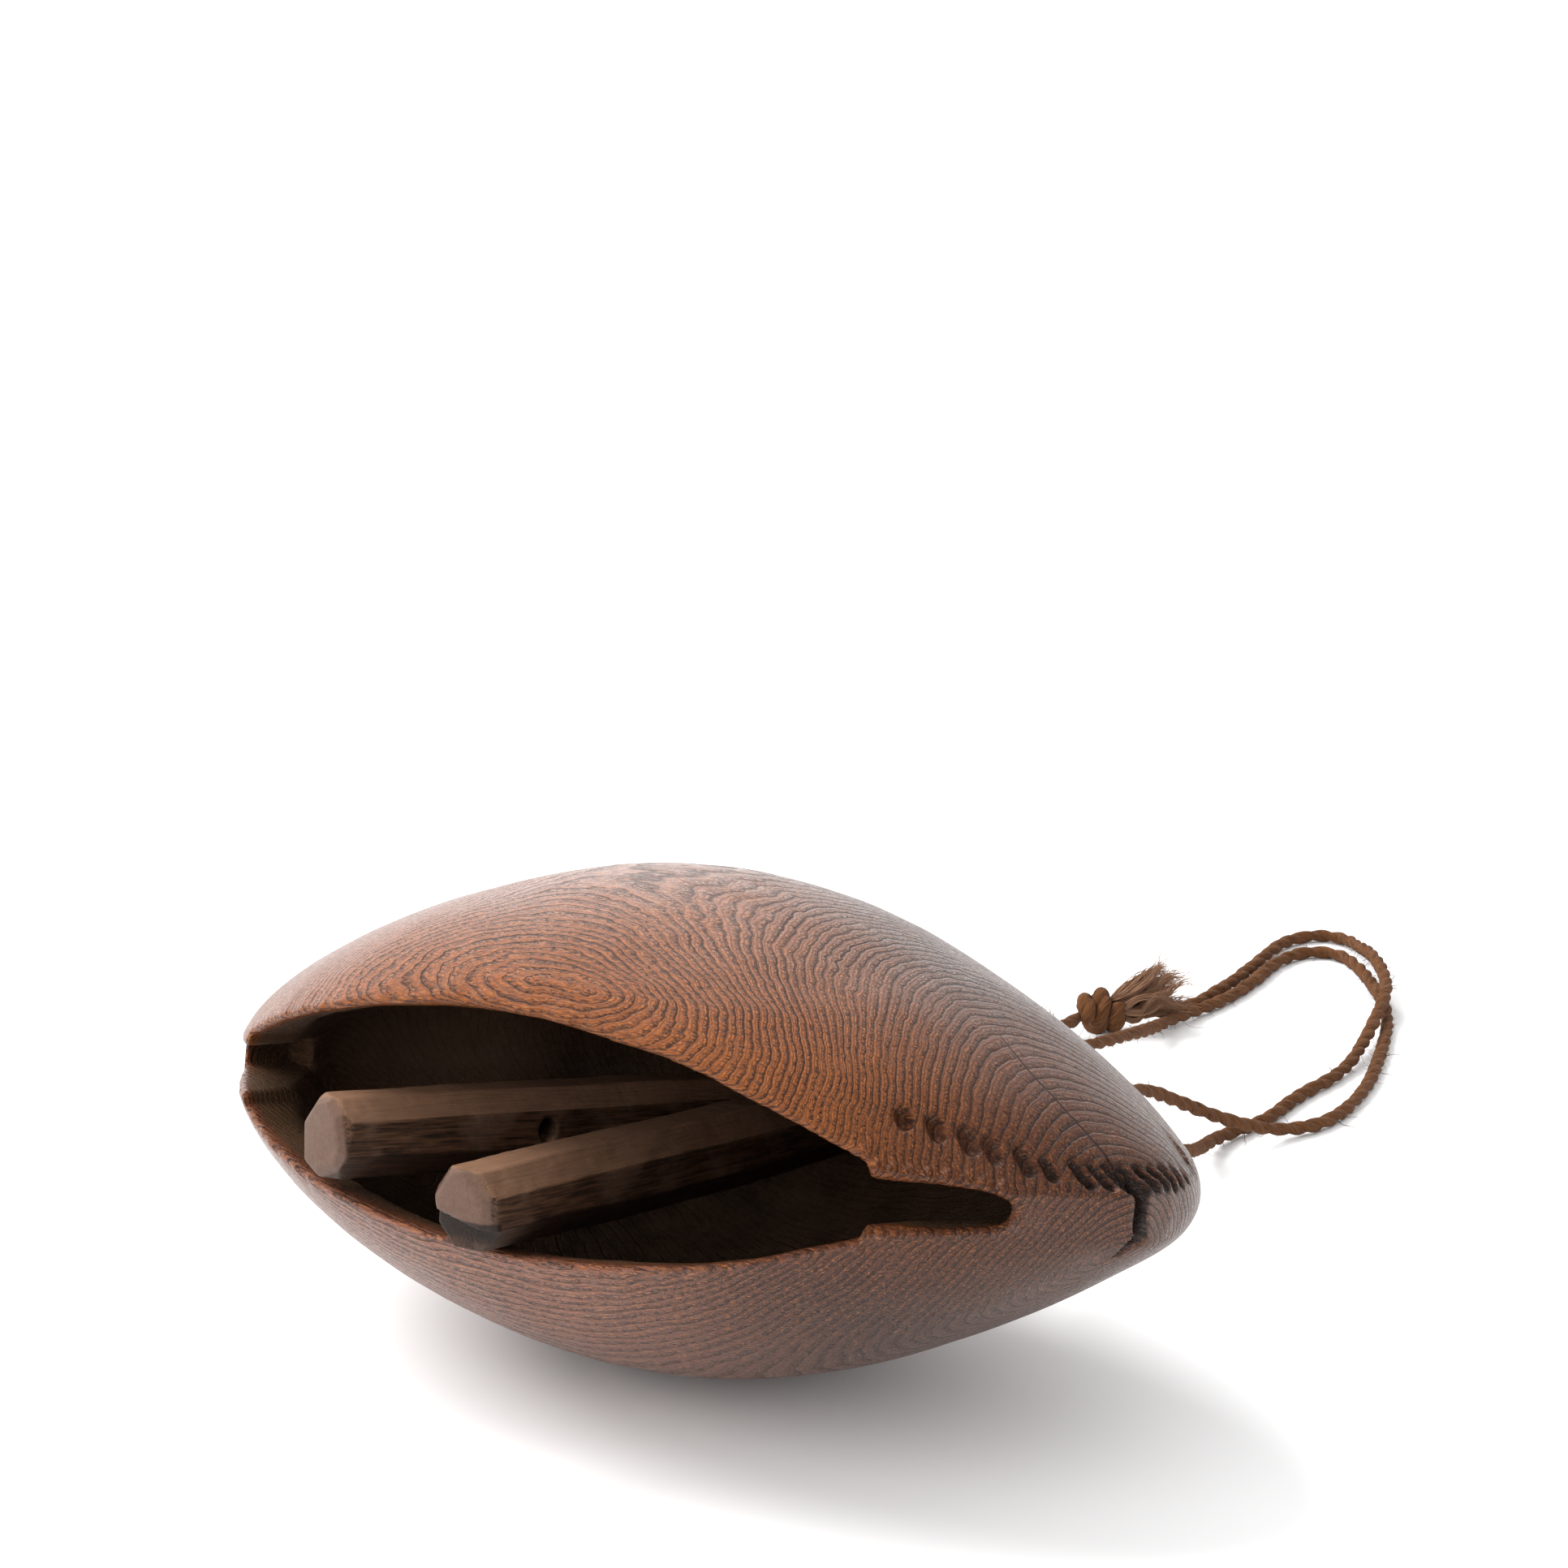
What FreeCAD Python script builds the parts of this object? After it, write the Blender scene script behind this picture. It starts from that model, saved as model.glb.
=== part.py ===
import FreeCAD, Part

import math
import os
import sys

import Sketcher

# A carved wooden camel bell, lying on its broad lower side.
#
# Bell frame: X runs across the bell from tip to tip, Y from the mouth (-Y) to the crown (+Y), and Z is
# normal to the bell's middle plane. The whole bell is then tilted into its resting pose: the crown drops
# and the +X tip lifts. The ground is Z = 0, and the origin is under the middle of the bell.
#
# Pieces: one hollowed block of wood, two clappers hung on a rope that crosses inside the crown, and the
# rope itself, which goes round twice and is tied in a whipped knot with a frayed tassel.

# alias, value (mm, degrees or a plain power), what it is
DIMENSIONS = [
    ("half_width", 125.0, "middle of the bell to each tip"),
    ("half_depth", 57.0, "middle plane to the outside of each shell"),
    ("crown_reach", 79.0, "bell origin to the crown"),
    ("mouth_reach", 70.0, "bell origin to the mouth side, before the mouth is cut"),
    ("tip_half_depth", 6.5, "half the thickness of the worn tips"),
    ("crown_power", 0.8, "how bluff the crown's outline is"),
    ("cavity_half_width", 108.0, "middle to each end of the hollow"),
    ("cavity_half_depth", 48.5, "middle plane to the hollow's wall"),
    ("cavity_crown_reach", 70.4, "bell origin to the hollow's wall under the crown"),
    ("cavity_mouth_reach", 62.0, "bell origin to the hollow's wall at the mouth side"),
    ("cavity_tip_half_depth", 4.0, "half the hollow's thickness at its ends"),
    ("mouth_half_width", 90.0, "middle to the step where the mouth turns into a slot"),
    ("mouth_half_gap_upper", 26.0, "middle plane to the upper lip"),
    ("mouth_half_gap_lower", 25.0, "middle plane to the lower lip"),
    ("slot_root_half_gap", 5.3, "half the slot's width at the step"),
    ("slot_end_half_gap", 3.6, "half the slot's width at its round end"),
    ("slot_end_reach", 106.5, "middle to the centre of the slot's round end"),
    ("mouth_cut_back", 12.0, "how far in front of the bell origin the mouth cut stops"),
    ("crown_hole_diameter", 9.0, "rope hole through the crown"),
    ("crown_hole_offset", 32.0, "middle to each rope hole"),
    ("rope_line_height", -3.0, "height of the rope holes and of the clappers' pivot"),
    ("tip_notch_depth", 4.0, "saw notch in each tip"),
    ("tip_notch_half_width", 1.4, "half the notch's width at its mouth"),
    ("pivot_reach", 50.0, "bell origin to the rope that the clappers hang on"),
    ("clapper_diameter", 20.4, "across the corners of a clapper's shaft"),
    ("clapper_head_diameter", 16.0, "across the corners of a clapper's head"),
    ("clapper_head_reach", 8.0, "pivot to the end of the head"),
    ("clapper_neck_start", 32.0, "pivot to the start of the full shaft"),
    ("clapper_hole_diameter", 8.5, "rope hole through the head"),
    ("clapper_end_chamfer", 1.8, "chamfer on the striking end"),
    ("near_length", 124.5, "pivot to the striking end, clapper nearer +X"),
    ("near_pivot_side", 2.0, "X of the pivot, clapper nearer +X"),
    ("near_slant", -1.8, "turn about the bell's Z, clapper nearer +X"),
    ("near_dip", 6.1, "how far the striking end dips, clapper nearer +X"),
    ("far_length", 121.0, "pivot to the striking end, clapper nearer -X"),
    ("far_pivot_side", -16.5, "X of the pivot, clapper nearer -X"),
    ("far_slant", -16.2, "turn about the bell's Z, clapper nearer -X"),
    ("far_dip", 2.62, "how far the striking end dips, clapper nearer -X"),
    ("peg_hole_diameter", 4.6, "old peg hole in the side of the far clapper"),
    ("peg_hole_reach", 66.0, "pivot to the peg hole"),
    ("rebate_depth", 1.6, "rebate across the near clapper's striking end"),
    ("rebate_height", 8.0, "how high the rebate reaches"),
    ("crown_drop", 12.4, "resting tilt about X"),
    ("tip_lift", 3.4, "resting tilt about Y"),
    ("origin_x", 0.0, "bell origin in the resting frame"),
    ("origin_y", -2.5, "bell origin in the resting frame"),
    ("origin_z", 59.0, "bell origin above the ground"),
    ("rope_diameter", 3.6, "twisted fibre rope"),
    ("rope_pair_pitch", 3.9, "between the two strands side by side"),
    ("rope_inner_radius", 7.0, "bend of the rope round a crown hole's inner edge"),
    ("rope_hole_reach", 80.0, "bell origin to where the strands leave the crown holes"),
    ("knot_diameter", 10.6, "whipping round the knot"),
    ("knot_length", 12.0, "whipping round the knot"),
    ("knot_rounding", 2.5, "rounded ends of the whipping"),
    ("tassel_root_diameter", 7.0, "frayed rope ends where they leave the whipping"),
    ("tassel_end_diameter", 17.0, "spread of the frayed ends"),
    ("tassel_length", 23.0, "frayed ends"),
    ("tuft_root_diameter", 2.0, "short frayed end on the tail"),
    ("tuft_end_diameter", 5.0, "short frayed end on the tail"),
    ("tuft_length", 7.0, "short frayed end on the tail"),
]

# The rope's routes outside the bell, in the resting frame: (x, y, z) in mm between a crown hole and the
# next fixed end. The floor is Z = 0, so a strand that lies on it has its middle at 1.8.
ROUTE_OUTER_TURN = [
    (32.0, 97.0, 38.0), (25.0, 125.0, 33.5), (18.0, 152.0, 28.5), (16.0, 172.0, 18.5), (19.0, 189.0, 9.5),
    (23.0, 206.0, 2.6), (29.0, 222.0, 1.8), (20.0, 247.0, 1.8), (6.0, 274.0, 1.8), (-6.0, 298.0, 1.8),
    (-18.0, 319.0, 1.8), (-27.0, 335.0, 1.8), (-41.0, 346.0, 1.8), (-55.0, 341.0, 1.8), (-57.0, 324.0, 1.8),
    (-50.0, 305.0, 1.8), (-47.0, 284.0, 1.8), (-48.0, 263.0, 2.6), (-42.0, 244.0, 6.0), (-35.0, 222.0, 11.5),
    (-30.5, 192.0, 16.5), (-31.0, 160.0, 20.5), (-31.0, 126.0, 24.5), (-31.6, 97.0, 29.8),
]
ROUTE_INNER_TURN = [
    (32.6, 96.0, 34.2), (34.0, 121.0, 27.0), (33.0, 148.0, 16.0), (22.0, 172.0, 7.0), (13.0, 193.0, 2.2),
    (15.5, 213.0, 1.8), (11.0, 234.0, 1.8), (7.0, 257.0, 1.8), (-1.0, 280.0, 3.6), (-7.0, 297.0, 5.8),
    (-12.0, 311.0, 6.6), (-20.0, 326.0, 6.6), (-32.0, 346.0, 6.2), (-48.0, 360.0, 2.2), (-63.0, 357.0, 1.8),
    (-67.0, 343.0, 1.8), (-60.0, 322.0, 1.8), (-55.0, 304.0, 1.8), (-52.0, 287.0, 1.8), (-53.0, 270.0, 1.8),
    (-58.5, 253.0, 4.8),
]
ROUTE_TAIL = [
    (-32.2, 96.0, 34.5), (-35.0, 125.0, 29.0), (-40.0, 156.0, 22.0), (-48.0, 186.0, 15.0),
    (-56.0, 212.0, 9.0), (-62.0, 230.0, 5.4), (-64.0, 242.0, 5.0),
]
KNOT_CENTRE = (-61.5, 247.0, 5.8)
KNOT_DIRECTION = (0.6, 0.8, 0.1)
TASSEL_DIRECTION = (0.48, 0.8, 0.33)
TUFT_ROOT = (-58.0, 218.0, 8.6)
TUFT_DIRECTION = (-0.3, 0.05, 0.95)

SHELL_STATIONS = (-84, -72, -54, -36, -18, 0, 18, 36, 54, 72, 84)
CAVITY_STATIONS = (-84, -72, -54, -36, -18, 0, 18, 36, 54, 72, 84)
CLAPPER_SIDES = 8
ARC_SHARE = 0.45
VOLUME_TOLERANCE = 0.01

doc = FreeCAD.newDocument("camel_bell")
sheet = doc.addObject("Spreadsheet::Sheet", "Sizes")
for row, (alias, value, note) in enumerate(DIMENSIONS, start=1):
    sheet.set(f"A{row}", note)
    sheet.set(f"B{row}", str(value))
    sheet.setAlias(f"B{row}", alias)
doc.recompute()


def size(alias):
    """A driving dimension as a plain number, for the few shapes that can't take an expression."""
    return float(sheet.get(alias))


# --- helpers for bodies and sketches ---------------------------------------------------------------

def new_body(label):
    body = doc.addObject("PartDesign::Body", label)
    body.Label = label
    return body


def new_sketch(body, name, role, offset=None):
    """A sketch on one of the body's own origin planes; offset is an expression along the normal."""
    sketch = body.newObject("Sketcher::SketchObject", name)
    plane = [f for f in body.Origin.OriginFeatures if f.Role == role][0]
    sketch.AttachmentSupport = [(plane, "")]
    sketch.MapMode = "FlatFace"
    if offset:
        sketch.setExpression("AttachmentOffset.Base.z", offset)
    return sketch


def bind(sketch, name, constraint, expression):
    """Adds a named constraint and drives it from the sheet."""
    index = sketch.addConstraint(constraint)
    sketch.renameConstraint(index, name)
    sketch.setExpression("Constraints." + name, expression)


def ellipse_section(body, name, offset, centre, reach, depth):
    """A section across X: an ellipse with its long axis along Y. All sizes are expressions."""
    sketch = new_sketch(body, name, "YZ_Plane", offset)
    start = FreeCAD.Vector(size("half_depth") / 10, 0, 0)
    ellipse = sketch.addGeometry(Part.Ellipse(start, size("crown_reach"), size("half_depth")), False)
    sketch.exposeInternalGeometry(ellipse)
    long_axis = ellipse + 1
    short_axis = ellipse + 2
    sketch.addConstraint(Sketcher.Constraint("Horizontal", long_axis))
    sketch.addConstraint(Sketcher.Constraint("PointOnObject", ellipse, 3, -1))
    bind(sketch, "centre", Sketcher.Constraint("DistanceX", -1, 1, ellipse, 3, start.x), centre)
    bind(sketch, "reach", Sketcher.Constraint("Distance", long_axis, 2 * size("crown_reach")), reach)
    bind(sketch, "depth", Sketcher.Constraint("Distance", short_axis, 2 * size("half_depth")), depth)
    return sketch


def almond_sections(body, prefix, stations, width, crown, mouth, depth, tip):
    """Sections of an almond: each station is an angle, whose sine places it along the width."""
    sections = []
    for number, angle in enumerate(stations):
        back = f"Sizes.{crown} * cos({abs(angle)}) ^ Sizes.crown_power"
        front = f"Sizes.{mouth} * (1 - sin({abs(angle)}) ^ 4)"
        half = f"Sizes.{depth} * cos({abs(angle)}) ^ 2 + Sizes.{tip} * sin({abs(angle)}) ^ 4"
        sections.append(
            ellipse_section(
                body,
                f"{prefix}_section_{number}",
                f"Sizes.{width} * sin({angle})",
                f"({back} - {front}) / 2",
                f"{back} + {front}",
                f"2 * ({half})",
            )
        )
    return sections


def loft(body, kind, name, sections):
    feature = body.newObject(kind, name)
    feature.Profile = sections[0]
    feature.Sections = sections[1:]
    feature.Ruled = False
    return feature


def closed_outline(sketch, points):
    """Straight closed outline through points; returns the index of its first edge."""
    first = sketch.GeometryCount
    ends = points[1:] + points[:1]
    for start, end in zip(points, ends):
        sketch.addGeometry(Part.LineSegment(FreeCAD.Vector(*start, 0), FreeCAD.Vector(*end, 0)), False)
    for step in range(len(points)):
        following = (step + 1) % len(points)
        sketch.addConstraint(Sketcher.Constraint("Coincident", first + step, 2, first + following, 1))
    return first


def circle(sketch, name, radius, centre_x, centre_y):
    """A circle whose radius and centre are expressions; its sign is set by the starting centre."""
    here = FreeCAD.Vector(centre_x[0], centre_y[0], 0)
    ring = sketch.addGeometry(Part.Circle(here, FreeCAD.Vector(0, 0, 1), 4.0), False)
    bind(sketch, name + "_radius", Sketcher.Constraint("Radius", ring, 4.0), radius)
    bind(sketch, name + "_x", Sketcher.Constraint("DistanceX", -1, 1, ring, 3, here.x), centre_x[1])
    bind(sketch, name + "_y", Sketcher.Constraint("DistanceY", -1, 1, ring, 3, here.y), centre_y[1])


def pocket(body, name, sketch, reversed_cut=False, both_ways=False):
    feature = body.newObject("PartDesign::Pocket", name)
    feature.Profile = sketch
    feature.Type = "ThroughAll"
    feature.Reversed = reversed_cut
    feature.Midplane = both_ways
    return feature


def check_cut(body, feature, before):
    """A pocket that points away from the solid cuts nothing and shows no error."""
    doc.recompute()
    after = feature.Shape.Volume
    if after > before - 1.0:
        sys.exit(f"{body.Label}: {feature.Name} removed nothing")
    return after


def resting_placement(local):
    """Puts a placement given in the bell frame into the resting frame."""
    tilt = FreeCAD.Rotation(FreeCAD.Vector(1, 0, 0), -size("crown_drop")) * FreeCAD.Rotation(
        FreeCAD.Vector(0, 1, 0), -size("tip_lift")
    )
    origin = FreeCAD.Vector(size("origin_x"), size("origin_y"), size("origin_z"))
    return FreeCAD.Placement(origin, tilt) * local


# --- the bell: one carved block ----------------------------------------------------------------------

def mouth_outline(sketch):
    """Two lip arcs, a step at each end and a slot that narrows to a round end, seen along Y."""
    step_x = size("mouth_half_width")
    root = size("slot_root_half_gap")
    end = size("slot_end_half_gap")
    end_x = size("slot_end_reach")

    def line(start, finish):
        return Part.LineSegment(*[FreeCAD.Vector(x, z, 0) for x, z in (start, finish)])

    def arc(start, middle, finish):
        return Part.Arc(*[FreeCAD.Vector(x, z, 0) for x, z in (start, middle, finish)])

    # Counter-clockwise, from the lower step at +X.
    edges = [
        line((step_x, -root), (end_x, -end)),
        arc((end_x, -end), (end_x + end, 0), (end_x, end)),
        line((end_x, end), (step_x, root)),
        arc((step_x, root), (0, size("mouth_half_gap_upper")), (-step_x, root)),
        line((-step_x, root), (-end_x, end)),
        arc((-end_x, end), (-end_x - end, 0), (-end_x, -end)),
        line((-end_x, -end), (-step_x, -root)),
        arc((-step_x, -root), (0, -size("mouth_half_gap_lower")), (step_x, -root)),
    ]
    low_right, end_right, top_right, upper_lip, top_left, end_left, low_left, lower_lip = [
        sketch.addGeometry(edge, False) for edge in edges
    ]
    for number in range(len(edges)):
        following = (number + 1) % len(edges)
        sketch.addConstraint(Sketcher.Constraint("Coincident", number, 2, following, 1))

    def place(name, edge, x_sign, x_alias, z_sign, z_alias):
        """Fixes where an edge starts."""
        x_rule = Sketcher.Constraint("DistanceX", -1, 1, edge, 1, x_sign * size(x_alias))
        z_rule = Sketcher.Constraint("DistanceY", -1, 1, edge, 1, z_sign * size(z_alias))
        bind(sketch, name + "_x", x_rule, f"{x_sign} * Sizes.{x_alias}")
        bind(sketch, name + "_z", z_rule, f"{z_sign} * Sizes.{z_alias}")

    place("low_step_right", low_right, 1, "mouth_half_width", -1, "slot_root_half_gap")
    place("low_end_right", end_right, 1, "slot_end_reach", -1, "slot_end_half_gap")
    place("top_end_right", top_right, 1, "slot_end_reach", 1, "slot_end_half_gap")
    place("top_step_right", upper_lip, 1, "mouth_half_width", 1, "slot_root_half_gap")
    place("top_step_left", top_left, -1, "mouth_half_width", 1, "slot_root_half_gap")
    place("top_end_left", end_left, -1, "slot_end_reach", 1, "slot_end_half_gap")
    place("low_end_left", low_left, -1, "slot_end_reach", -1, "slot_end_half_gap")
    place("low_step_left", lower_lip, -1, "mouth_half_width", -1, "slot_root_half_gap")
    for name, edge, side in (("right_centre", end_right, 1), ("left_centre", end_left, -1)):
        rule = Sketcher.Constraint("DistanceX", -1, 1, edge, 3, side * end_x)
        bind(sketch, name, rule, f"{side} * Sizes.slot_end_reach")
    for name, edge, alias in (
        ("upper_lip_radius", upper_lip, "mouth_half_gap_upper"),
        ("lower_lip_radius", lower_lip, "mouth_half_gap_lower"),
    ):
        rise = f"(Sizes.{alias} - Sizes.slot_root_half_gap)"
        rule = Sketcher.Constraint("Radius", edge, sketch.Geometry[edge].Radius)
        bind(sketch, name, rule, f"(Sizes.mouth_half_width ^ 2 + {rise} ^ 2) / (2 * {rise})")


def make_bell():
    body = new_body("bell_body")
    outside = almond_sections(
        body, "shell", SHELL_STATIONS, "half_width", "crown_reach", "mouth_reach", "half_depth",
        "tip_half_depth",
    )
    shell = loft(body, "PartDesign::AdditiveLoft", "shell", outside)
    doc.recompute()
    volume = shell.Shape.Volume
    inside = almond_sections(
        body, "cavity", CAVITY_STATIONS, "cavity_half_width", "cavity_crown_reach", "cavity_mouth_reach",
        "cavity_half_depth", "cavity_tip_half_depth",
    )
    cavity = loft(body, "PartDesign::SubtractiveLoft", "cavity", inside)
    volume = check_cut(body, cavity, volume)

    mouth_sketch = new_sketch(body, "mouth_sketch", "XZ_Plane", "Sizes.mouth_cut_back")
    mouth_outline(mouth_sketch)
    volume = check_cut(body, pocket(body, "mouth", mouth_sketch, reversed_cut=True), volume)

    hole_sketch = new_sketch(body, "crown_hole_sketch", "XZ_Plane")
    for name, side in (("right", 1), ("left", -1)):
        circle(
            hole_sketch,
            name,
            "Sizes.crown_hole_diameter / 2",
            (side * size("crown_hole_offset"), f"{side} * Sizes.crown_hole_offset"),
            (size("rope_line_height"), "Sizes.rope_line_height"),
        )
    volume = check_cut(body, pocket(body, "crown_holes", hole_sketch), volume)

    notch_sketch = new_sketch(body, "tip_notch_sketch", "XY_Plane")
    for name, side in (("right", 1), ("left", -1)):
        tip = side * size("half_width")
        root = tip - side * size("tip_notch_depth")
        wide = size("tip_notch_half_width")
        corners = [(root, wide), (tip, 0), (tip, 2 * wide)]
        first = closed_outline(notch_sketch, corners)
        bind(notch_sketch, name + "_root_x", Sketcher.Constraint("DistanceX", -1, 1, first, 1, root),
             f"{side} * (Sizes.half_width - Sizes.tip_notch_depth)")
        bind(notch_sketch, name + "_root_y", Sketcher.Constraint("DistanceY", -1, 1, first, 1, wide),
             "Sizes.tip_notch_half_width")
        notch_sketch.addConstraint(Sketcher.Constraint("Vertical", first + 1))
        notch_sketch.addConstraint(Sketcher.Constraint("PointOnObject", first, 2, -1))
        bind(notch_sketch, name + "_mouth_x", Sketcher.Constraint("DistanceX", -1, 1, first, 2, tip),
             f"{side} * Sizes.half_width")
        bind(notch_sketch, name + "_mouth", Sketcher.Constraint("Distance", first + 1, 2 * wide),
             "2 * Sizes.tip_notch_half_width")
    check_cut(body, pocket(body, "tip_notches", notch_sketch, both_ways=True), volume)
    body.Placement = resting_placement(FreeCAD.Placement())
    return body


# --- the clappers: whittled eight-sided rods -----------------------------------------------------------

def octagon(body, name, offset, diameter):
    """A regular eight-sided section on the XZ plane, flat side down."""
    sketch = new_sketch(body, name, "XZ_Plane", offset)
    radius = size("clapper_diameter") / 2
    half_side = 180 / CLAPPER_SIDES
    corners = []
    for step in range(CLAPPER_SIDES):
        angle = math.radians(half_side + step * 2 * half_side)
        corners.append((radius * math.cos(angle), radius * math.sin(angle)))
    first = closed_outline(sketch, corners)
    ring = sketch.addGeometry(Part.Circle(FreeCAD.Vector(), FreeCAD.Vector(0, 0, 1), radius), True)
    sketch.addConstraint(Sketcher.Constraint("Coincident", ring, 3, -1, 1))
    for step in range(CLAPPER_SIDES):
        sketch.addConstraint(Sketcher.Constraint("PointOnObject", first + step, 1, ring))
        if step:
            sketch.addConstraint(Sketcher.Constraint("Equal", first, first + step))
    bottom = first + CLAPPER_SIDES * 3 // 4 - 1
    sketch.addConstraint(Sketcher.Constraint("Horizontal", bottom))
    bind(sketch, "radius", Sketcher.Constraint("Radius", ring, radius), diameter)
    return sketch


def make_clapper(label, which):
    """Local frame: the pivot hole is at the origin, and the rod runs from it along -Y."""
    body = new_body(label)
    shaft = body.newObject("PartDesign::Pad", "shaft")
    shaft.Profile = octagon(body, "shaft_section", "Sizes.clapper_neck_start", "Sizes.clapper_diameter / 2")
    shaft.setExpression("Length", f"Sizes.{which}_length - Sizes.clapper_neck_start")
    neck_sections = [
        octagon(body, "neck_wide", "Sizes.clapper_neck_start", "Sizes.clapper_diameter / 2"),
        octagon(body, "neck_narrow", "-Sizes.clapper_head_reach", "Sizes.clapper_head_diameter / 2"),
    ]
    neck = loft(body, "PartDesign::AdditiveLoft", "neck", neck_sections)
    doc.recompute()
    if neck.Shape.Volume <= shaft.Shape.Volume:
        sys.exit(f"{label}: the neck added nothing")

    ends = [neck.Shape.optimalBoundingBox().YMin, neck.Shape.optimalBoundingBox().YMax]
    edges = []
    for index, edge in enumerate(neck.Shape.Edges, start=1):
        levels = [vertex.Point.y for vertex in edge.Vertexes]
        if any(all(abs(level - end) < 0.01 for level in levels) for end in ends):
            edges.append(f"Edge{index}")
    chamfer = body.newObject("PartDesign::Chamfer", "end_chamfers")
    chamfer.Base = (neck, edges)
    chamfer.setExpression("Size", "Sizes.clapper_end_chamfer")
    volume = check_cut(body, chamfer, neck.Shape.Volume)

    # The rope hole follows the rope, which crosses the bell along X whatever the clapper's slant.
    rope_sketch = new_sketch(body, "rope_hole_sketch", "YZ_Plane")
    rope_sketch.AttachmentOffset = FreeCAD.Placement(
        FreeCAD.Vector(), FreeCAD.Rotation(FreeCAD.Vector(0, 1, 0), -size(which + "_slant"))
    )
    rope_sketch.setExpression("AttachmentOffset.Rotation.Angle", f"abs(Sizes.{which}_slant)")
    circle(rope_sketch, "rope", "Sizes.clapper_hole_diameter / 2", (0, "0"), (0, "0"))
    volume = check_cut(body, pocket(body, "rope_hole", rope_sketch, both_ways=True), volume)

    if which == "far":
        peg_sketch = new_sketch(body, "peg_hole_sketch", "YZ_Plane")
        circle(
            peg_sketch,
            "peg",
            "Sizes.peg_hole_diameter / 2",
            (-size("peg_hole_reach"), "-Sizes.peg_hole_reach"),
            (0, "0"),
        )
        check_cut(body, pocket(body, "peg_hole", peg_sketch, both_ways=True), volume)
    else:
        rebate_sketch = new_sketch(body, "rebate_sketch", "YZ_Plane")
        face = -size("near_length")
        shoulder = face + size("rebate_depth")
        low = -size("clapper_diameter")
        high = size("rebate_height") - size("clapper_diameter") / 2
        corners = [(face, low), (shoulder, low), (shoulder, high), (face, high)]
        first = closed_outline(rebate_sketch, corners)
        for edge in (first, first + 2):
            rebate_sketch.addConstraint(Sketcher.Constraint("Horizontal", edge))
        for edge in (first + 1, first + 3):
            rebate_sketch.addConstraint(Sketcher.Constraint("Vertical", edge))
        for name, rule, formula in (
            ("face", Sketcher.Constraint("DistanceX", -1, 1, first, 1, face), "-Sizes.near_length"),
            ("low", Sketcher.Constraint("DistanceY", -1, 1, first, 1, low), "-Sizes.clapper_diameter"),
            ("deep", Sketcher.Constraint("DistanceX", -1, 1, first + 1, 2, shoulder),
             "Sizes.rebate_depth - Sizes.near_length"),
            ("high", Sketcher.Constraint("DistanceY", -1, 1, first + 1, 2, high),
             "Sizes.rebate_height - Sizes.clapper_diameter / 2"),
        ):
            bind(rebate_sketch, name, rule, formula)
        check_cut(body, pocket(body, "rebate", rebate_sketch, both_ways=True), volume)

    pivot = FreeCAD.Vector(size(which + "_pivot_side"), size("pivot_reach"), size("rope_line_height"))
    turn = FreeCAD.Rotation(FreeCAD.Vector(0, 0, 1), size(which + "_slant")) * FreeCAD.Rotation(
        FreeCAD.Vector(1, 0, 0), size(which + "_dip")
    )
    body.Placement = resting_placement(FreeCAD.Placement(pivot, turn))
    return body


# --- the rope ------------------------------------------------------------------------------------------

def rounded_path(label, points, radius=None):
    """Straight runs joined by tangent arcs; without a radius each arc is as large as its runs allow."""
    corners = [FreeCAD.Vector(*point) for point in points]
    edges = []
    start = corners[0]
    length = 0.0
    radii = []
    for before, corner, after in zip(corners, corners[1:], corners[2:]):
        arriving = corner - before
        leaving = after - corner
        turn = arriving.getAngle(leaving)
        shorter = min(arriving.Length, leaving.Length)
        bend = radius or ARC_SHARE * shorter / math.tan(turn / 2)
        setback = bend * math.tan(turn / 2)
        arriving.normalize()
        leaving.normalize()
        arc_start = corner - arriving * setback
        arc_end = corner + leaving * setback
        towards_middle = leaving - arriving
        towards_middle.normalize()
        depth = bend / math.cos(turn / 2) - bend
        edges.append(Part.LineSegment(start, arc_start).toShape())
        edges.append(Part.Arc(arc_start, corner + towards_middle * depth, arc_end).toShape())
        length += (arc_start - start).Length + bend * turn
        start = arc_end
        radii.append(round(bend))
    edges.append(Part.LineSegment(start, corners[-1]).toShape())
    length += (corners[-1] - start).Length
    print(label, "length", round(length, 1), "bend radii", radii)
    return Part.Wire(edges), length


def rope_tube(label, points, radius=None):
    path, length = rounded_path(label, points, radius)
    diameter = size("rope_diameter")
    heading = FreeCAD.Vector(*points[1]) - FreeCAD.Vector(*points[0])
    section = Part.Wire(Part.makeCircle(diameter / 2, FreeCAD.Vector(*points[0]), heading))
    tube = path.makePipeShell([section], True, False)
    expected = math.pi * diameter ** 2 / 4 * length
    if abs(tube.Volume - expected) > VOLUME_TOLERANCE * expected:
        sys.exit(f"{label}: volume {tube.Volume:.0f} instead of {expected:.0f}")
    feature = doc.addObject("Part::Feature", label)
    feature.Label = label
    feature.Shape = tube
    return feature


def strand_height(strand):
    """Bell-frame height of the upper (+1) or lower (-1) of the two strands in a crown hole."""
    return size("rope_line_height") + strand * size("rope_pair_pitch") / 2


def hole_end(side, strand):
    """Where a strand leaves a crown hole, in the resting frame."""
    point = FreeCAD.Vector(side * size("crown_hole_offset"), size("rope_hole_reach"), strand_height(strand))
    return tuple(resting_placement(FreeCAD.Placement()).multVec(point))


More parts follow.
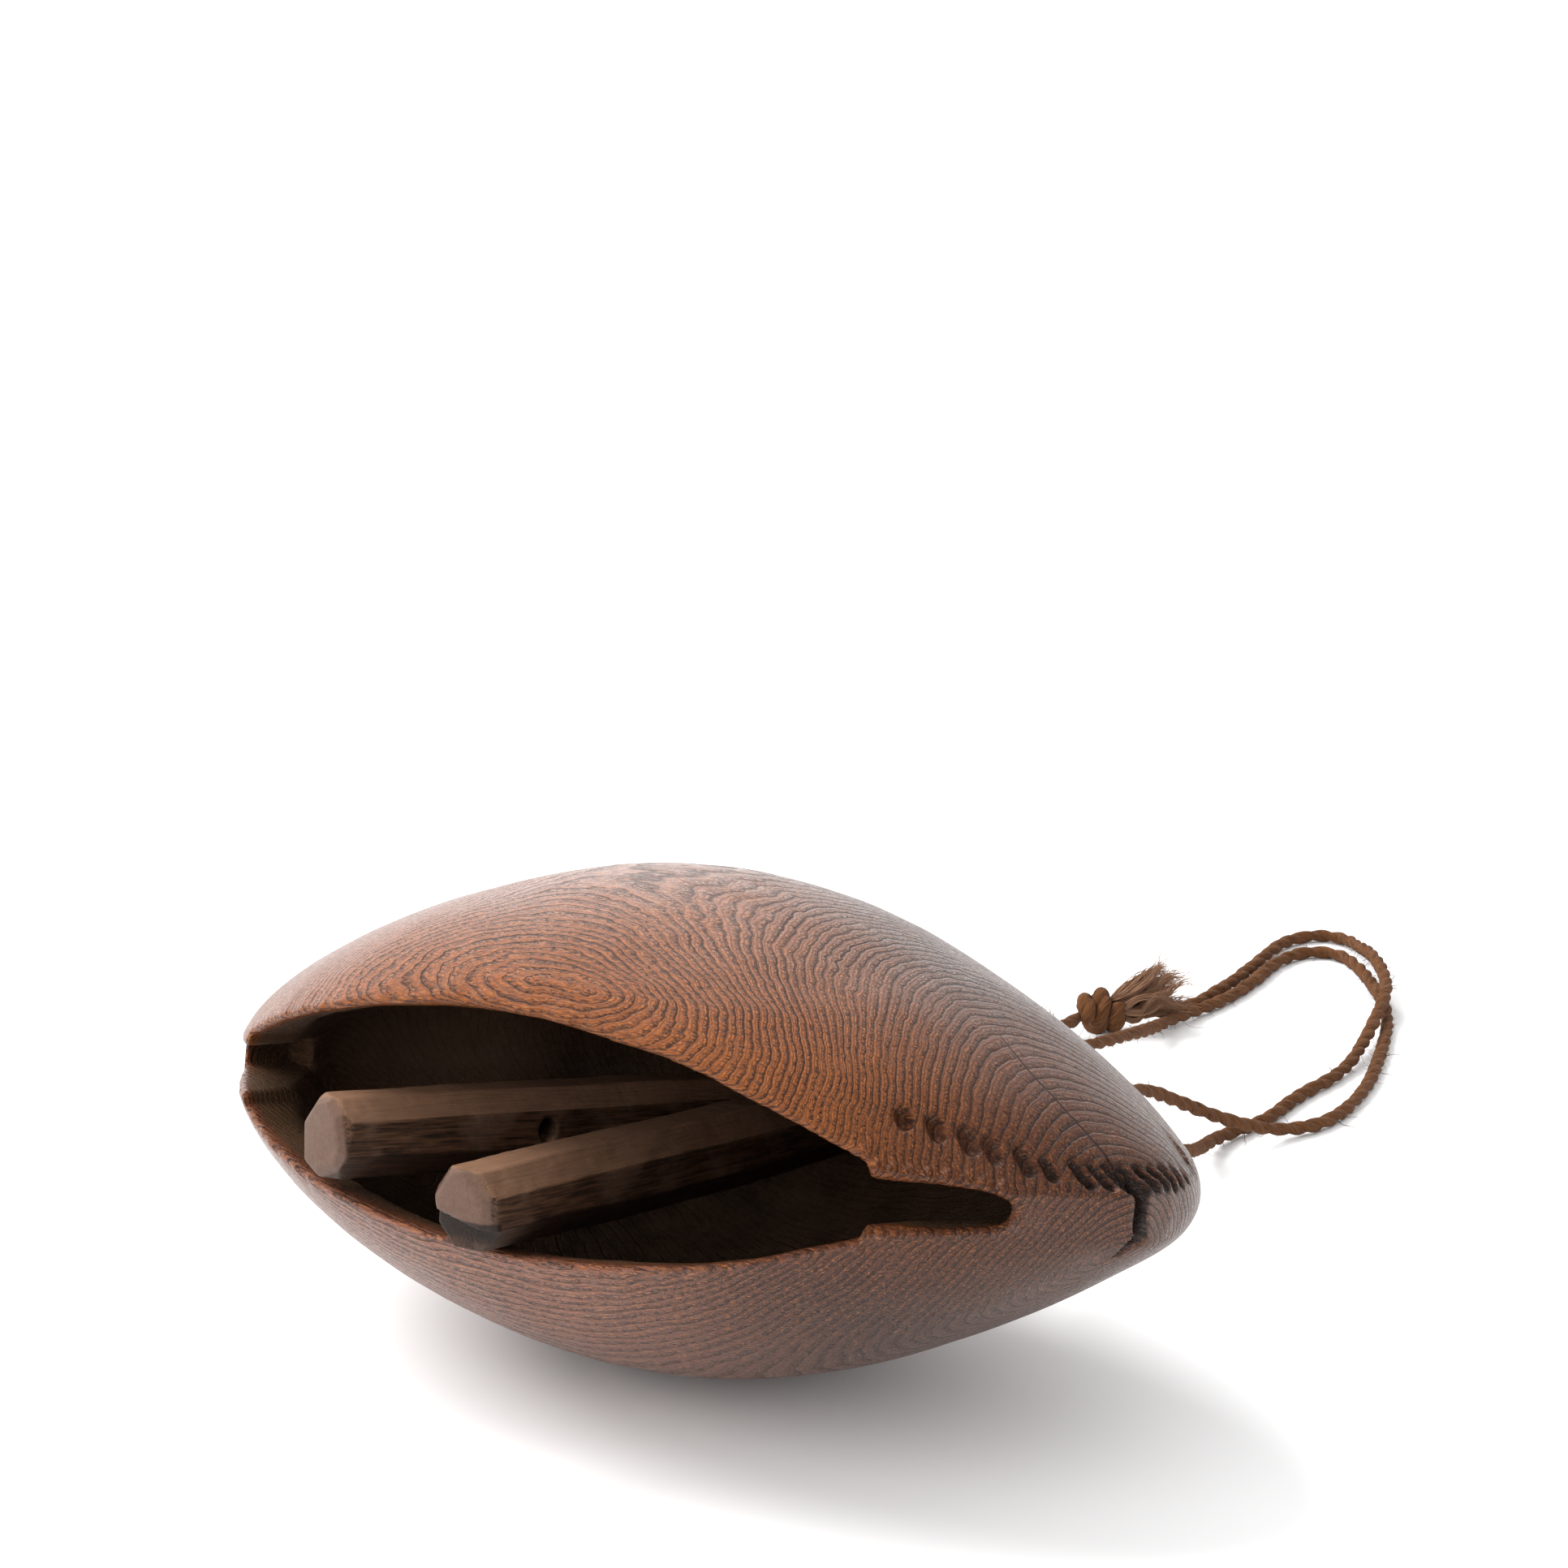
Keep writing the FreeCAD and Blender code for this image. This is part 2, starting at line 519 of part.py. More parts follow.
def make_crossing(label, strand):
    """A strand from one crown hole to the other, through both clapper heads. Built in the bell frame."""
    across = size("crown_hole_offset")
    outside = size("rope_hole_reach")
    inside = size("pivot_reach")
    level = strand_height(strand)
    points = [(-across, outside, level), (-across, inside, level), (across, inside, level),
              (across, outside, level)]
    crossing = rope_tube(label, points, size("rope_inner_radius"))
    crossing.Placement = resting_placement(FreeCAD.Placement())
    return crossing


def round_piece(label, root, direction, root_diameter, end_diameter, length, rounding=None):
    """A cone or cylinder from its root along a direction; sizes are aliases in the sheet."""
    kind = "Part::Cylinder" if root_diameter == end_diameter else "Part::Cone"
    solid = doc.addObject(kind, label + "_form")
    if kind == "Part::Cylinder":
        solid.setExpression("Radius", f"Sizes.{root_diameter} / 2")
    else:
        solid.setExpression("Radius1", f"Sizes.{root_diameter} / 2")
        solid.setExpression("Radius2", f"Sizes.{end_diameter} / 2")
    solid.setExpression("Height", f"Sizes.{length}")
    turn = FreeCAD.Rotation(FreeCAD.Vector(0, 0, 1), FreeCAD.Vector(*direction))
    solid.Placement = FreeCAD.Placement(FreeCAD.Vector(*root), turn)
    if rounding is None:
        solid.Label = label
        return solid
    doc.recompute()
    rounded = doc.addObject("Part::Fillet", label)
    rounded.Base = solid
    radius = size(rounding)
    rounded.Edges = [
        (index, radius, radius)
        for index, edge in enumerate(solid.Shape.Edges, start=1)
        if isinstance(edge.Curve, Part.Circle)
    ]
    rounded.Label = label
    return rounded


def make_rope():
    knot_axis = FreeCAD.Vector(*KNOT_DIRECTION).normalize()
    half_knot = knot_axis * (size("knot_length") / 2)
    knot_left = FreeCAD.Vector(*KNOT_CENTRE) - half_knot
    knot_right = FreeCAD.Vector(*KNOT_CENTRE) + half_knot
    return [
        make_crossing("rope_crossing_upper", 1),
        make_crossing("rope_crossing_lower", -1),
        rope_tube("rope_turn_outer", [hole_end(1, 1)] + ROUTE_OUTER_TURN + [hole_end(-1, -1)]),
        rope_tube("rope_turn_inner", [hole_end(1, -1)] + ROUTE_INNER_TURN),
        rope_tube("rope_tail", [hole_end(-1, 1)] + ROUTE_TAIL),
        round_piece("rope_knot", knot_left, KNOT_DIRECTION, "knot_diameter", "knot_diameter",
                    "knot_length", "knot_rounding"),
        round_piece("rope_tassel", knot_right, TASSEL_DIRECTION, "tassel_root_diameter",
                    "tassel_end_diameter", "tassel_length"),
        round_piece("rope_tuft", TUFT_ROOT, TUFT_DIRECTION, "tuft_root_diameter",
                    "tuft_end_diameter", "tuft_length"),
    ]


pieces = [make_bell(), make_clapper("clapper_near", "near"), make_clapper("clapper_far", "far")]
pieces += make_rope()

doc.recompute()
for item in doc.Objects:
    if "Invalid" in item.State or "Error" in item.State:
        sys.exit(f"{item.Label} failed: {item.State}")
for piece in pieces:
    if piece.Shape.isNull() or not piece.Shape.isValid():
        sys.exit(f"{piece.Label} has no valid shape")

os.makedirs("parts", exist_ok=True)
for piece in pieces:
    piece.Shape.exportStep(f"parts/{piece.Label}.step")
    box = piece.Shape.optimalBoundingBox()
    low = [round(v, 2) for v in (box.XMin, box.YMin, box.ZMin)]
    high = [round(v, 2) for v in (box.XMax, box.YMax, box.ZMax)]
    print(piece.Label, len(piece.Shape.Solids), "solids", low, high)
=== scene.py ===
import math
import random

import bpy
import numpy as np
from mathutils import Matrix, Vector


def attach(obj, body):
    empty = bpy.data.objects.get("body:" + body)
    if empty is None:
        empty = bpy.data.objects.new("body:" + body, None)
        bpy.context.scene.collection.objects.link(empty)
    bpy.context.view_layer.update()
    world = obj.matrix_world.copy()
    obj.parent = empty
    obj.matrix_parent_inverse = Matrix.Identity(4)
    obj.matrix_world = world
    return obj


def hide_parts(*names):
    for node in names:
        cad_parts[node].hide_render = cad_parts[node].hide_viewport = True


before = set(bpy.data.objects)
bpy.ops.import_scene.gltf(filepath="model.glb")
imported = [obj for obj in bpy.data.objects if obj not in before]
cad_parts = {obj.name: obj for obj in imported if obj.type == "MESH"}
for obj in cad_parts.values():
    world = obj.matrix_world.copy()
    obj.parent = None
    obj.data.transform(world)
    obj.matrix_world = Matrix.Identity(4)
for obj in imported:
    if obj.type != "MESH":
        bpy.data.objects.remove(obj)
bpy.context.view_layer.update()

# A carved wooden camel bell on its side, two wooden clappers and a twisted rope, in the CAD's frame.
#
# The wood is made as solid shapes first: each is a field that is below zero inside the wood, cut and
# worn the way the real one was, and then meshed. Wood sizes are in millimetres, in the bell's own frame:
# X from tip to tip, Y from the mouth (-Y) to the crown (+Y), Z normal to the bell's middle plane.

MM = 0.001
BELL_ORIGIN = Vector((0.0, -2.5, 59.0))
BELL_TILT = Matrix.Rotation(math.radians(-12.4), 3, "X") @ Matrix.Rotation(math.radians(-3.4), 3, "Y")


def to_row(points, turn=BELL_TILT, origin=BELL_ORIGIN):
    """Points in mm in a tilted frame, as metres in the row frame."""
    return (np.asarray(points) @ np.array(turn).T + np.array(origin)) * MM


# --- camera ----------------------------------------------------------------------------------------

CAMERA_AZIMUTH = 38.4976
CAMERA_ELEVATION = 16.4328
CAMERA_ROLL = 0.3658
CAMERA_PLACE = Vector((734.4, -890.66, 477.88))
CAMERA_LENS = 124.552


def make_camera():
    azimuth, elevation = math.radians(CAMERA_AZIMUTH), math.radians(CAMERA_ELEVATION)
    back = Vector((
        math.sin(azimuth) * math.cos(elevation),
        -math.cos(azimuth) * math.cos(elevation),
        math.sin(elevation),
    ))
    data = bpy.data.cameras.new("camera")
    data.sensor_width = 36
    data.lens = CAMERA_LENS
    camera = bpy.data.objects.new("camera", data)
    camera.location = CAMERA_PLACE * MM
    facing = (-back).to_track_quat("-Z", "Y").to_matrix()
    camera.rotation_euler = (facing @ Matrix.Rotation(math.radians(CAMERA_ROLL), 3, "Z")).to_euler()
    bpy.context.scene.collection.objects.link(camera)
    bpy.context.scene.camera = camera


make_camera()


# --- mesh helpers ----------------------------------------------------------------------------------

def new_object(name, data):
    obj = bpy.data.objects.new(name, data)
    bpy.context.scene.collection.objects.link(obj)
    return obj


def mesh_object(name, points, faces, marks=None):
    """A smooth-shaded mesh; points in metres. marks are vectors kept on its vertices for the material."""
    data = bpy.data.meshes.new(name)
    if isinstance(faces, np.ndarray):
        faces = faces.tolist()
    data.from_pydata(np.asarray(points).tolist(), [], faces)
    data.validate()
    data.shade_smooth()
    if marks is not None:
        layer = data.attributes.new("grain", "FLOAT_VECTOR", "POINT")
        layer.data.foreach_set("vector", np.asarray(marks, dtype=np.float32).ravel())
    return new_object(name, data)


def unit(vectors):
    return vectors / np.linalg.norm(vectors, axis=-1, keepdims=True)


def resample(points, step):
    """Points every step along a line, and how far along each is."""
    runs = np.linalg.norm(np.diff(points, axis=0), axis=1)
    reach = np.concatenate([[0.0], np.cumsum(runs)])
    along = np.linspace(0.0, reach[-1], max(2, int(round(reach[-1] / step))) + 1)
    return np.stack([np.interp(along, reach, points[:, k]) for k in range(3)], axis=1), along


def carried_frames(path):
    """Tangents and two normals along a line, carried along it without twist."""
    tangents = unit(np.gradient(path, axis=0))
    start = np.cross(tangents[0], (0.31, 0.17, 0.93))
    normals = [start / np.linalg.norm(start)]
    for tangent in tangents[1:]:
        side = normals[-1] - tangent * normals[-1].dot(tangent)
        normals.append(side / np.linalg.norm(side))
    normals = np.array(normals)
    return tangents, normals, np.cross(tangents, normals)


def ring_faces(rings, sides):
    """Quads between rings of points, and a cap at each end."""
    faces = []
    for i in range(rings - 1):
        for j in range(sides):
            k = (j + 1) % sides
            faces.append((i * sides + j, i * sides + k, (i + 1) * sides + k, (i + 1) * sides + j))
    return faces, [tuple(reversed(range(sides))), tuple(range((rings - 1) * sides, rings * sides))]


# --- rope ------------------------------------------------------------------------------------------

STRANDS = 2
STRAND_RADIUS = 1.30
STRAND_OFFSET = 0.48
ROPE_LAY = 12.5
ROPE_SIDES = 28
ROPE_STEP = 0.55

NEAR_UPPER = (32.0, 75.8, 42.7)
NEAR_LOWER = (32.2, 75.0, 38.8)
FAR_UPPER = (-31.9, 75.0, 38.9)
FAR_LOWER = (-31.7, 74.2, 35.1)

# The rope's route, in mm in the row frame: it goes round twice outside the bell.
OUTER_TURN = [
    NEAR_UPPER,
    (32.0, 97.0, 38.0), (25.0, 125.0, 33.5), (18.0, 152.0, 28.5), (16.0, 172.0, 18.5), (19.0, 189.0, 9.5),
    (23.0, 206.0, 2.6), (29.0, 222.0, 1.8), (23.0, 248.0, 1.8), (10.5, 275.0, 1.8), (-2.0, 298.5, 1.8),
    (-12.0, 312.0, 1.8), (-23.0, 323.5, 1.8), (-35.0, 334.5, 1.8), (-45.5, 341.0, 1.8), (-54.0, 336.5, 1.8),
    (-55.0, 323.0, 1.8), (-50.5, 307.0, 1.8), (-47.0, 287.0, 1.8), (-48.0, 265.0, 2.6), (-42.0, 244.0, 6.0),
    (-35.0, 222.0, 11.5),
    (-30.5, 192.0, 16.5), (-31.0, 160.0, 20.5), (-31.0, 126.0, 24.5), (-31.6, 97.0, 29.8),
    FAR_LOWER,
]
INNER_TURN = [
    NEAR_LOWER,
    (32.6, 96.0, 34.2), (34.0, 121.0, 27.0), (33.0, 148.0, 16.0), (22.0, 172.0, 7.0), (13.0, 193.0, 2.2),
    (15.5, 213.0, 1.8), (11.0, 234.0, 1.8), (10.5, 257.5, 1.8), (2.5, 280.5, 3.6), (-4.0, 297.0, 5.8),
    (-10.0, 310.0, 6.6), (-19.0, 322.5, 6.6), (-30.5, 334.5, 6.4), (-41.5, 344.5, 3.8), (-50.0, 353.0, 1.9),
    (-59.5, 352.0, 1.8), (-63.5, 341.0, 1.8), (-61.0, 328.0, 1.8), (-57.5, 315.0, 1.8), (-53.5, 296.0, 1.8),
    (-51.5, 278.0, 1.8), (-54.0, 265.0, 2.2),
    (-58.5, 253.0, 4.8),
]
TAIL = [
    FAR_UPPER,
    (-32.2, 96.0, 34.5), (-35.0, 125.0, 29.0), (-40.0, 156.0, 22.0), (-48.0, 186.0, 15.0),
    (-56.0, 212.0, 9.0), (-62.0, 230.0, 5.4), (-64.0, 242.0, 5.0),
]
# The two strands inside the crown, in mm in the bell's own frame.
STRAND_HEIGHT = 1.95
CROSSING = [
    (32.0, 80.0), (32.0, 66.0), (32.0, 52.0), (24.0, 50.0), (8.0, 50.0),
    (-8.0, 50.0), (-24.0, 50.0), (-32.0, 52.0), (-32.0, 66.0), (-32.0, 80.0),
]
CROSSING_MIDDLE = -3.0


def spline_line(points):
    """Points in metres along a smooth NURBS line with these control points, in mm."""
    data = bpy.data.curves.new("line", "CURVE")
    data.dimensions = "3D"
    data.resolution_u = 32
    spline = data.splines.new("NURBS")
    spline.points.add(len(points) - 1)
    for control, (x, y, z) in zip(spline.points, points):
        control.co = (x * MM, y * MM, z * MM, 1.0)
    spline.order_u = 3
    spline.use_endpoint_u = True
    obj = new_object("line", data)
    bpy.context.view_layer.update()
    mesh = bpy.data.meshes.new_from_object(obj)
    line = np.array([v.co[:] for v in mesh.vertices])
    bpy.data.objects.remove(obj)
    bpy.data.meshes.remove(mesh)
    return line


def twisted(name, line, seed, scale=1.0):
    """A laid rope of two strands along a line in metres."""
    path, along = resample(line / MM, ROPE_STEP)
    _, normals, binormals = carried_frames(path)
    around = np.linspace(0.0, 2 * math.pi, ROPE_SIDES, endpoint=False)
    sector = 2 * math.pi / STRANDS
    off_strand = (around + 0.5 * sector) % sector - 0.5 * sector
    section = STRAND_OFFSET * np.cos(off_strand) + np.sqrt(
        STRAND_RADIUS ** 2 - (STRAND_OFFSET * np.sin(off_strand)) ** 2
    )
    draw = np.random.default_rng(seed)
    knots = draw.normal(0.0, 1.0, (int(along[-1] / 6) + 3, 2))
    places = np.arange(len(knots)) * 6.0
    swell = 1 + 0.045 * np.interp(along, places, knots[:, 0])
    turn = 2 * math.pi * along / ROPE_LAY + 0.35 * np.interp(along, places, knots[:, 1])
    swell *= scale
    angle = around[None, :] + turn[:, None]
    radius = section[None, :] * swell[:, None]
    points = (
        path[:, None, :]
        + (radius * np.cos(angle))[..., None] * normals[:, None, :]
        + (radius * np.sin(angle))[..., None] * binormals[:, None, :]
    )
    marks = np.stack(np.broadcast_arrays(around[None, :] * 2.0, along[:, None], float(seed)), axis=-1)
    faces, caps = ring_faces(len(path), ROPE_SIDES)
    return mesh_object(name, points.reshape(-1, 3) * MM, faces + caps, marks.reshape(-1, 3))


outer_line = spline_line(OUTER_TURN)
inner_line = spline_line(INNER_TURN)
tail_line = spline_line(TAIL)
upper_line = spline_line([
    tuple(p / MM for p in to_row([(x, y, CROSSING_MIDDLE + STRAND_HEIGHT)])[0]) for x, y in CROSSING
])
lower_line = spline_line([
    tuple(p / MM for p in to_row([(x, y, CROSSING_MIDDLE - STRAND_HEIGHT)])[0]) for x, y in CROSSING
])

outer_rope = twisted("rope_outer", outer_line, 11)
inner_rope = twisted("rope_inner", inner_line, 12)
tail_rope = twisted("rope_end", tail_line, 13)
upper_rope = twisted("rope_inside_upper", upper_line, 14)
lower_rope = twisted("rope_inside_lower", lower_line, 15)


# --- fine fibres -----------------------------------------------------------------------------------

def fibres(name, strokes, seed):
    """Thin tapering hairs, each given as (points in mm, radius in mm), in one mesh."""
    sides = 4
    points, faces, marks = [], [], []
    for number, (path, thickness) in enumerate(strokes):
        _, normals, binormals = carried_frames(path)
        first = len(points)
        count = len(path)
        for i, centre in enumerate(path):
            radius = thickness * (1 - 0.75 * i / (count - 1))
            for j in range(sides):
                angle = 2 * math.pi * j / sides
                outward = math.cos(angle) * normals[i] + math.sin(angle) * binormals[i]
                points.append(centre + radius * outward)
                marks.append((float(j), float(i), float(number % 97) + seed))
        quads, caps = ring_faces(count, sides)
        faces += [tuple(first + k for k in face) for face in quads + caps]
    return mesh_object(name, np.array(points) * MM, faces, marks)


def hair(draw, root, direction, length, curl, steps=5):
    """A curved hair from root; curl is how far it wanders, as a share of its length."""
    heading = unit(np.array(direction, dtype=float))
    path = [np.array(root, dtype=float)]
    for _ in range(steps):
        heading = unit(heading + draw.normal(0.0, curl, 3))
        path.append(path[-1] + heading * length / steps)
    return np.array(path)


def rope_fuzz(name, lines, seed, spacing=1.1):
    """Short loose fibres that stand off the rope."""
    draw = np.random.default_rng(seed)
    strokes = []
    for line in lines:
        path, _ = resample(line / MM, spacing)
        tangents, normals, binormals = carried_frames(path)
        for centre, tangent, normal, binormal in zip(path, tangents, normals, binormals):
            angle = draw.uniform(0, 2 * math.pi)
            outward = math.cos(angle) * normal + math.sin(angle) * binormal
            root = centre + outward * 1.45
            heading = outward * draw.uniform(0.3, 1.1) + tangent * draw.normal(0, 1.0)
            path_points = hair(draw, root, heading, draw.uniform(1.2, 3.6), 0.35)
            path_points[:, 2] = np.maximum(path_points[:, 2], 0.15)
            strokes.append((path_points, 0.07))
            if draw.random() < 0.035:
                heading = outward + tangent * draw.normal(0, 0.6)
                stray = hair(draw, root, heading, draw.uniform(6.0, 12.0), 0.16, 8)
                stray[:, 2] = np.maximum(stray[:, 2], 0.15)
                strokes.append((stray, 0.08))
    return fibres(name, strokes, seed)


loose_lines = [outer_line, inner_line, tail_line]
fuzz = rope_fuzz("rope_fuzz", loose_lines, 21)


# --- knot, tassel and tuft -------------------------------------------------------------------------

KNOT_CENTRE = np.array((-61.5, 247.0, 5.8))
KNOT_AXIS = unit(np.array((0.6, 0.8, 0.1)))
WRAP_TURNS = 2.1
WRAP_PITCH = 4.4
WRAP_RADIUS = 3.4


def knot_wraps():
    """The rope's own end wound round both strands."""
    side = unit(np.cross(KNOT_AXIS, (0.0, 0.0, 1.0)))
    up = np.cross(side, KNOT_AXIS)
    turns = np.linspace(0.0, WRAP_TURNS, 90)
    angle = 2 * math.pi * turns
    wobble = WRAP_RADIUS * (1 + 0.13 * np.sin(1.7 * angle + 0.6))
    line = (
        KNOT_CENTRE
        + (WRAP_PITCH * (turns - WRAP_TURNS / 2))[:, None] * KNOT_AXIS
        + (wobble * np.cos(angle))[:, None] * side
        + (wobble * np.sin(angle))[:, None] * up
    )
    line[:, 2] = np.maximum(line[:, 2], 2.0)
    return twisted("knot_wraps", line * MM, 31, scale=1.42)


TASSEL_AXIS = unit(np.array((0.48, 0.8, 0.33)))
TASSEL_ROOT = KNOT_CENTRE + 5.0 * KNOT_AXIS
TASSEL_LENGTH = 22.0
TASSEL_LOCKS = 30
LOCK_FIBRES = 38


def tassel():
    """Frayed ends beyond the knot: a bundle of locks that flare into loose fibres."""
    draw = np.random.default_rng(41)
    side = unit(np.cross(TASSEL_AXIS, (0.0, 0.0, 1.0)))
    up = np.cross(side, TASSEL_AXIS)
    strokes = []
    share = np.linspace(0.0, 1.0, 12)
    for _ in range(TASSEL_LOCKS):
        angle = draw.uniform(0, 2 * math.pi)
        spread = math.sqrt(draw.uniform(0, 1))
        out = math.cos(angle) * side + math.sin(angle) * up
        sideways = np.cross(out, TASSEL_AXIS)
        reach = TASSEL_LENGTH * draw.uniform(0.6, 1.0)
        bow = draw.uniform(1.4, 3.8) * np.sin(share * math.pi * draw.uniform(0.9, 2.4))
        core = (
            TASSEL_ROOT
            + (share * reach)[:, None] * TASSEL_AXIS
            + (spread * (3.0 + 5.6 * share))[:, None] * out
            + (draw.choice((-1, 1)) * bow)[:, None] * sideways
        )
        for _ in range(LOCK_FIBRES):
            shift = draw.normal(0.0, 0.42, 3)
            wander = np.cumsum(draw.normal(0.0, 0.10, (12, 3)), axis=0) * share[:, None]
            flare = draw.normal(0.0, 1.3, 3) * (share[:, None] ** 5)
            path = core + shift * (1 - 0.3 * share[:, None]) + wander + flare
            path = path[:draw.integers(9, 13)]
            path[:, 2] = np.maximum(path[:, 2], 0.3)
            strokes.append((path, 0.19))
    return fibres("frayed_tassel", strokes, 41)


TUFT_ROOT = np.array((-58.0, 218.0, 8.6))
TUFT_AXIS = unit(np.array((-0.3, 0.05, 0.95)))


def tuft():
    """The short frayed end that stands on the tail."""
    draw = np.random.default_rng(51)
    strokes = []
    for _ in range(90):
        root = TUFT_ROOT + draw.normal(0.0, 0.5, 3)
        heading = TUFT_AXIS + draw.normal(0.0, 0.32, 3)
        strokes.append((hair(draw, root, heading, draw.uniform(4.0, 8.0), 0.14), 0.13))
    return fibres("frayed_tuft", strokes, 51)


wraps = knot_wraps()
tassel_fibres = tassel()
tuft_fibres = tuft()


# --- wood as fields --------------------------------------------------------------------------------

def soft_max(a, b, wear):
    """The greater of two fields, with the edge between them rounded by about wear."""
    share = np.clip(0.5 + 0.5 * (a - b) / wear, 0.0, 1.0)
    return b + (a - b) * share + wear * share * (1 - share)


def cut_away(wood, tool, wear):
    """Wood with a tool's shape taken out of it, and the new edge rounded by about wear."""
    return soft_max(wood, -tool, wear)


def almond(x, y, z, half_width, crown, mouth, depth, tip):
    """Roughly the distance outside the bell's almond shape, which is an ellipse in every section."""
    share = np.clip(x / half_width, -0.9945, 0.9945)
    fall = 1 - share ** 2
    crown_reach = crown * fall ** 0.4
    mouth_reach = mouth * (1 - share ** 4)
    half_depth = depth * fall + tip * share ** 4
    middle = (crown_reach - mouth_reach) / 2
    reach = (crown_reach + mouth_reach) / 2
    u = (y - middle) / reach
    v = z / half_depth
    level = np.sqrt(u * u + v * v) + 1e-6
    return level * (level - 1) / np.sqrt((u / reach) ** 2 + (v / half_depth) ** 2 + 1e-12)


# The bell's outside and its hollow, in mm.
OUTSIDE = {"half_width": 125.0, "crown": 79.0, "mouth": 70.0, "depth": 57.0, "tip": 6.5}
HOLLOW = {"half_width": 108.0, "crown": 70.4, "mouth": 62.0, "depth": 48.5, "tip": 4.0}
HOLLOW_END = 107.4


def bell_outside(x, y, z):
    return almond(x, y, z, **OUTSIDE)


def bell_hollow(x, y, z):
    return soft_max(almond(x, y, z, **HOLLOW), np.abs(x) - HOLLOW_END, 3.0)


def lumps(axes, size, seed):
    """Smooth noise of about unit height over a grid, with lumps of the given size in mm."""
    draw = np.random.default_rng(seed)
    weights, counts = [], []
    for axis in axes:
        place = (axis - axis[0]) / size
        cell = np.floor(place).astype(int)
        part = place - cell
        part = part * part * (3 - 2 * part)
        count = cell[-1] + 2
        weight = np.zeros((len(axis), count), dtype=np.float32)
        weight[np.arange(len(axis)), cell] = 1 - part
        weight[np.arange(len(axis)), cell + 1] = part
        weights.append(weight)
        counts.append(count)
    value = draw.normal(0.0, 1.0, counts).astype(np.float32)
    value = np.tensordot(weights[0], value, axes=(1, 0))
    value = np.tensordot(value, weights[1], axes=(1, 1))
    return np.tensordot(value, weights[2], axes=(1, 1))


def surface_net(field, axes):
    """Points and quads on the field's zero level. Below zero is inside."""
    corners = [(i, j, k) for i in (0, 1) for j in (0, 1) for k in (0, 1)]

    def corner(values, place):
        return values[tuple(slice(p, n - 1 + p) for p, n in zip(place, values.shape))]

    inside = field < 0
    count = sum(corner(inside, place).astype(np.int8) for place in corners)
    active = (count > 0) & (count < 8)
    cells = np.argwhere(active)
    index = np.full(active.shape, -1, dtype=np.int64)
    index[active] = np.arange(len(cells))
    values = [corner(field, place)[active] for place in corners]
    total = np.zeros((len(cells), 3))
    hits = np.zeros(len(cells))
    for a, start in enumerate(corners):
        for b, end in enumerate(corners):
            step = np.subtract(end, start)
            if step.sum() != 1 or step.min() < 0:
                continue
            crossed = (values[a] < 0) != (values[b] < 0)
            share = np.where(crossed, values[a] / np.where(crossed, values[a] - values[b], 1.0), 0.0)
            total += crossed[:, None] * (np.array(start) + share[:, None] * step)
            hits += crossed
    place = cells + total / hits[:, None]
    points = np.stack(
        [np.interp(place[:, k], np.arange(len(axes[k])), axes[k]) for k in range(3)], axis=1
    )
    faces = []
    for axis in range(3):
        u, v = (axis + 1) % 3, (axis + 2) % 3
        low = np.take(inside, range(field.shape[axis] - 1), axis=axis)
        high = np.take(inside, range(1, field.shape[axis]), axis=axis)
        edge = np.argwhere(low != high)
        keep = (edge[:, u] > 0) & (edge[:, v] > 0)
        keep &= (edge[:, u] < field.shape[u] - 1) & (edge[:, v] < field.shape[v] - 1)
        edge = edge[keep]
        step_u, step_v = np.eye(3, dtype=int)[u], np.eye(3, dtype=int)[v]
        quad = np.stack(
            [index[tuple(c.T)] for c in (edge, edge - step_u, edge - step_u - step_v, edge - step_v)],
            axis=1,
        )
        outward = low[tuple(edge.T)]
        faces.append(np.where(outward[:, None], quad, quad[:, ::-1]))
    return points, np.concatenate(faces)


def relax(points, faces, rounds, amount):
    """Evens out a mesh by moving each point part of the way to its neighbours' middle."""
    ends = np.concatenate([faces[:, [0, 1]], faces[:, [1, 2]], faces[:, [2, 3]], faces[:, [3, 0]]])
    count = np.bincount(ends.ravel(), minlength=len(points))[:, None]
    for number in range(2 * rounds):
        total = np.zeros_like(points)
        for k in range(3):
            total[:, k] = np.bincount(ends[:, 0], points[ends[:, 1], k], len(points))
            total[:, k] += np.bincount(ends[:, 1], points[ends[:, 0], k], len(points))
        share = amount if number % 2 == 0 else -amount * 1.04
        points = points + share * (total / count - points)
    return points


def grid(axes):
    return np.meshgrid(*[a.astype(np.float32) for a in axes], indexing="ij", sparse=True)


def wood_object(name, field, axes, turn, origin, rounds=2):
    points, faces = surface_net(field, axes)
    points = relax(points, faces, rounds, 0.5)
    return mesh_object(name, to_row(points, turn, origin), faces, marks=points)


# --- bell ------------------------------------------------------------------------------------------

BELL_STEP = 0.95
TIP_STEP = 0.6
MOUTH_HALF_WIDTH = 90.0
LIP_UPPER = 26.0
LIP_LOWER = 25.0
SLOT_ROOT = 5.3
SLOT_END = 3.6
SLOT_REACH = 106.5
CORNER_STEP = 2.0
TIP_END = 124.6
CROWN_HOLE_SIDE = 32.0
CROWN_HOLE_LEVEL = -3.0
CROWN_HOLE_RADIUS = 4.5
CROWN_HOLE_START = 30.0
GROOVE_START = 117.5
NOTCH_DEPTH = 2.0
NOTCH_LEVEL = 7.4
# The shallow band that the notches are cut in: where it starts and how it fades in, both along X.
BAND_START = 86.0
BAND_FADE = 12.0
BAND_DEPTH = 0.9
BAND_HALF_HEIGHT = 3.2

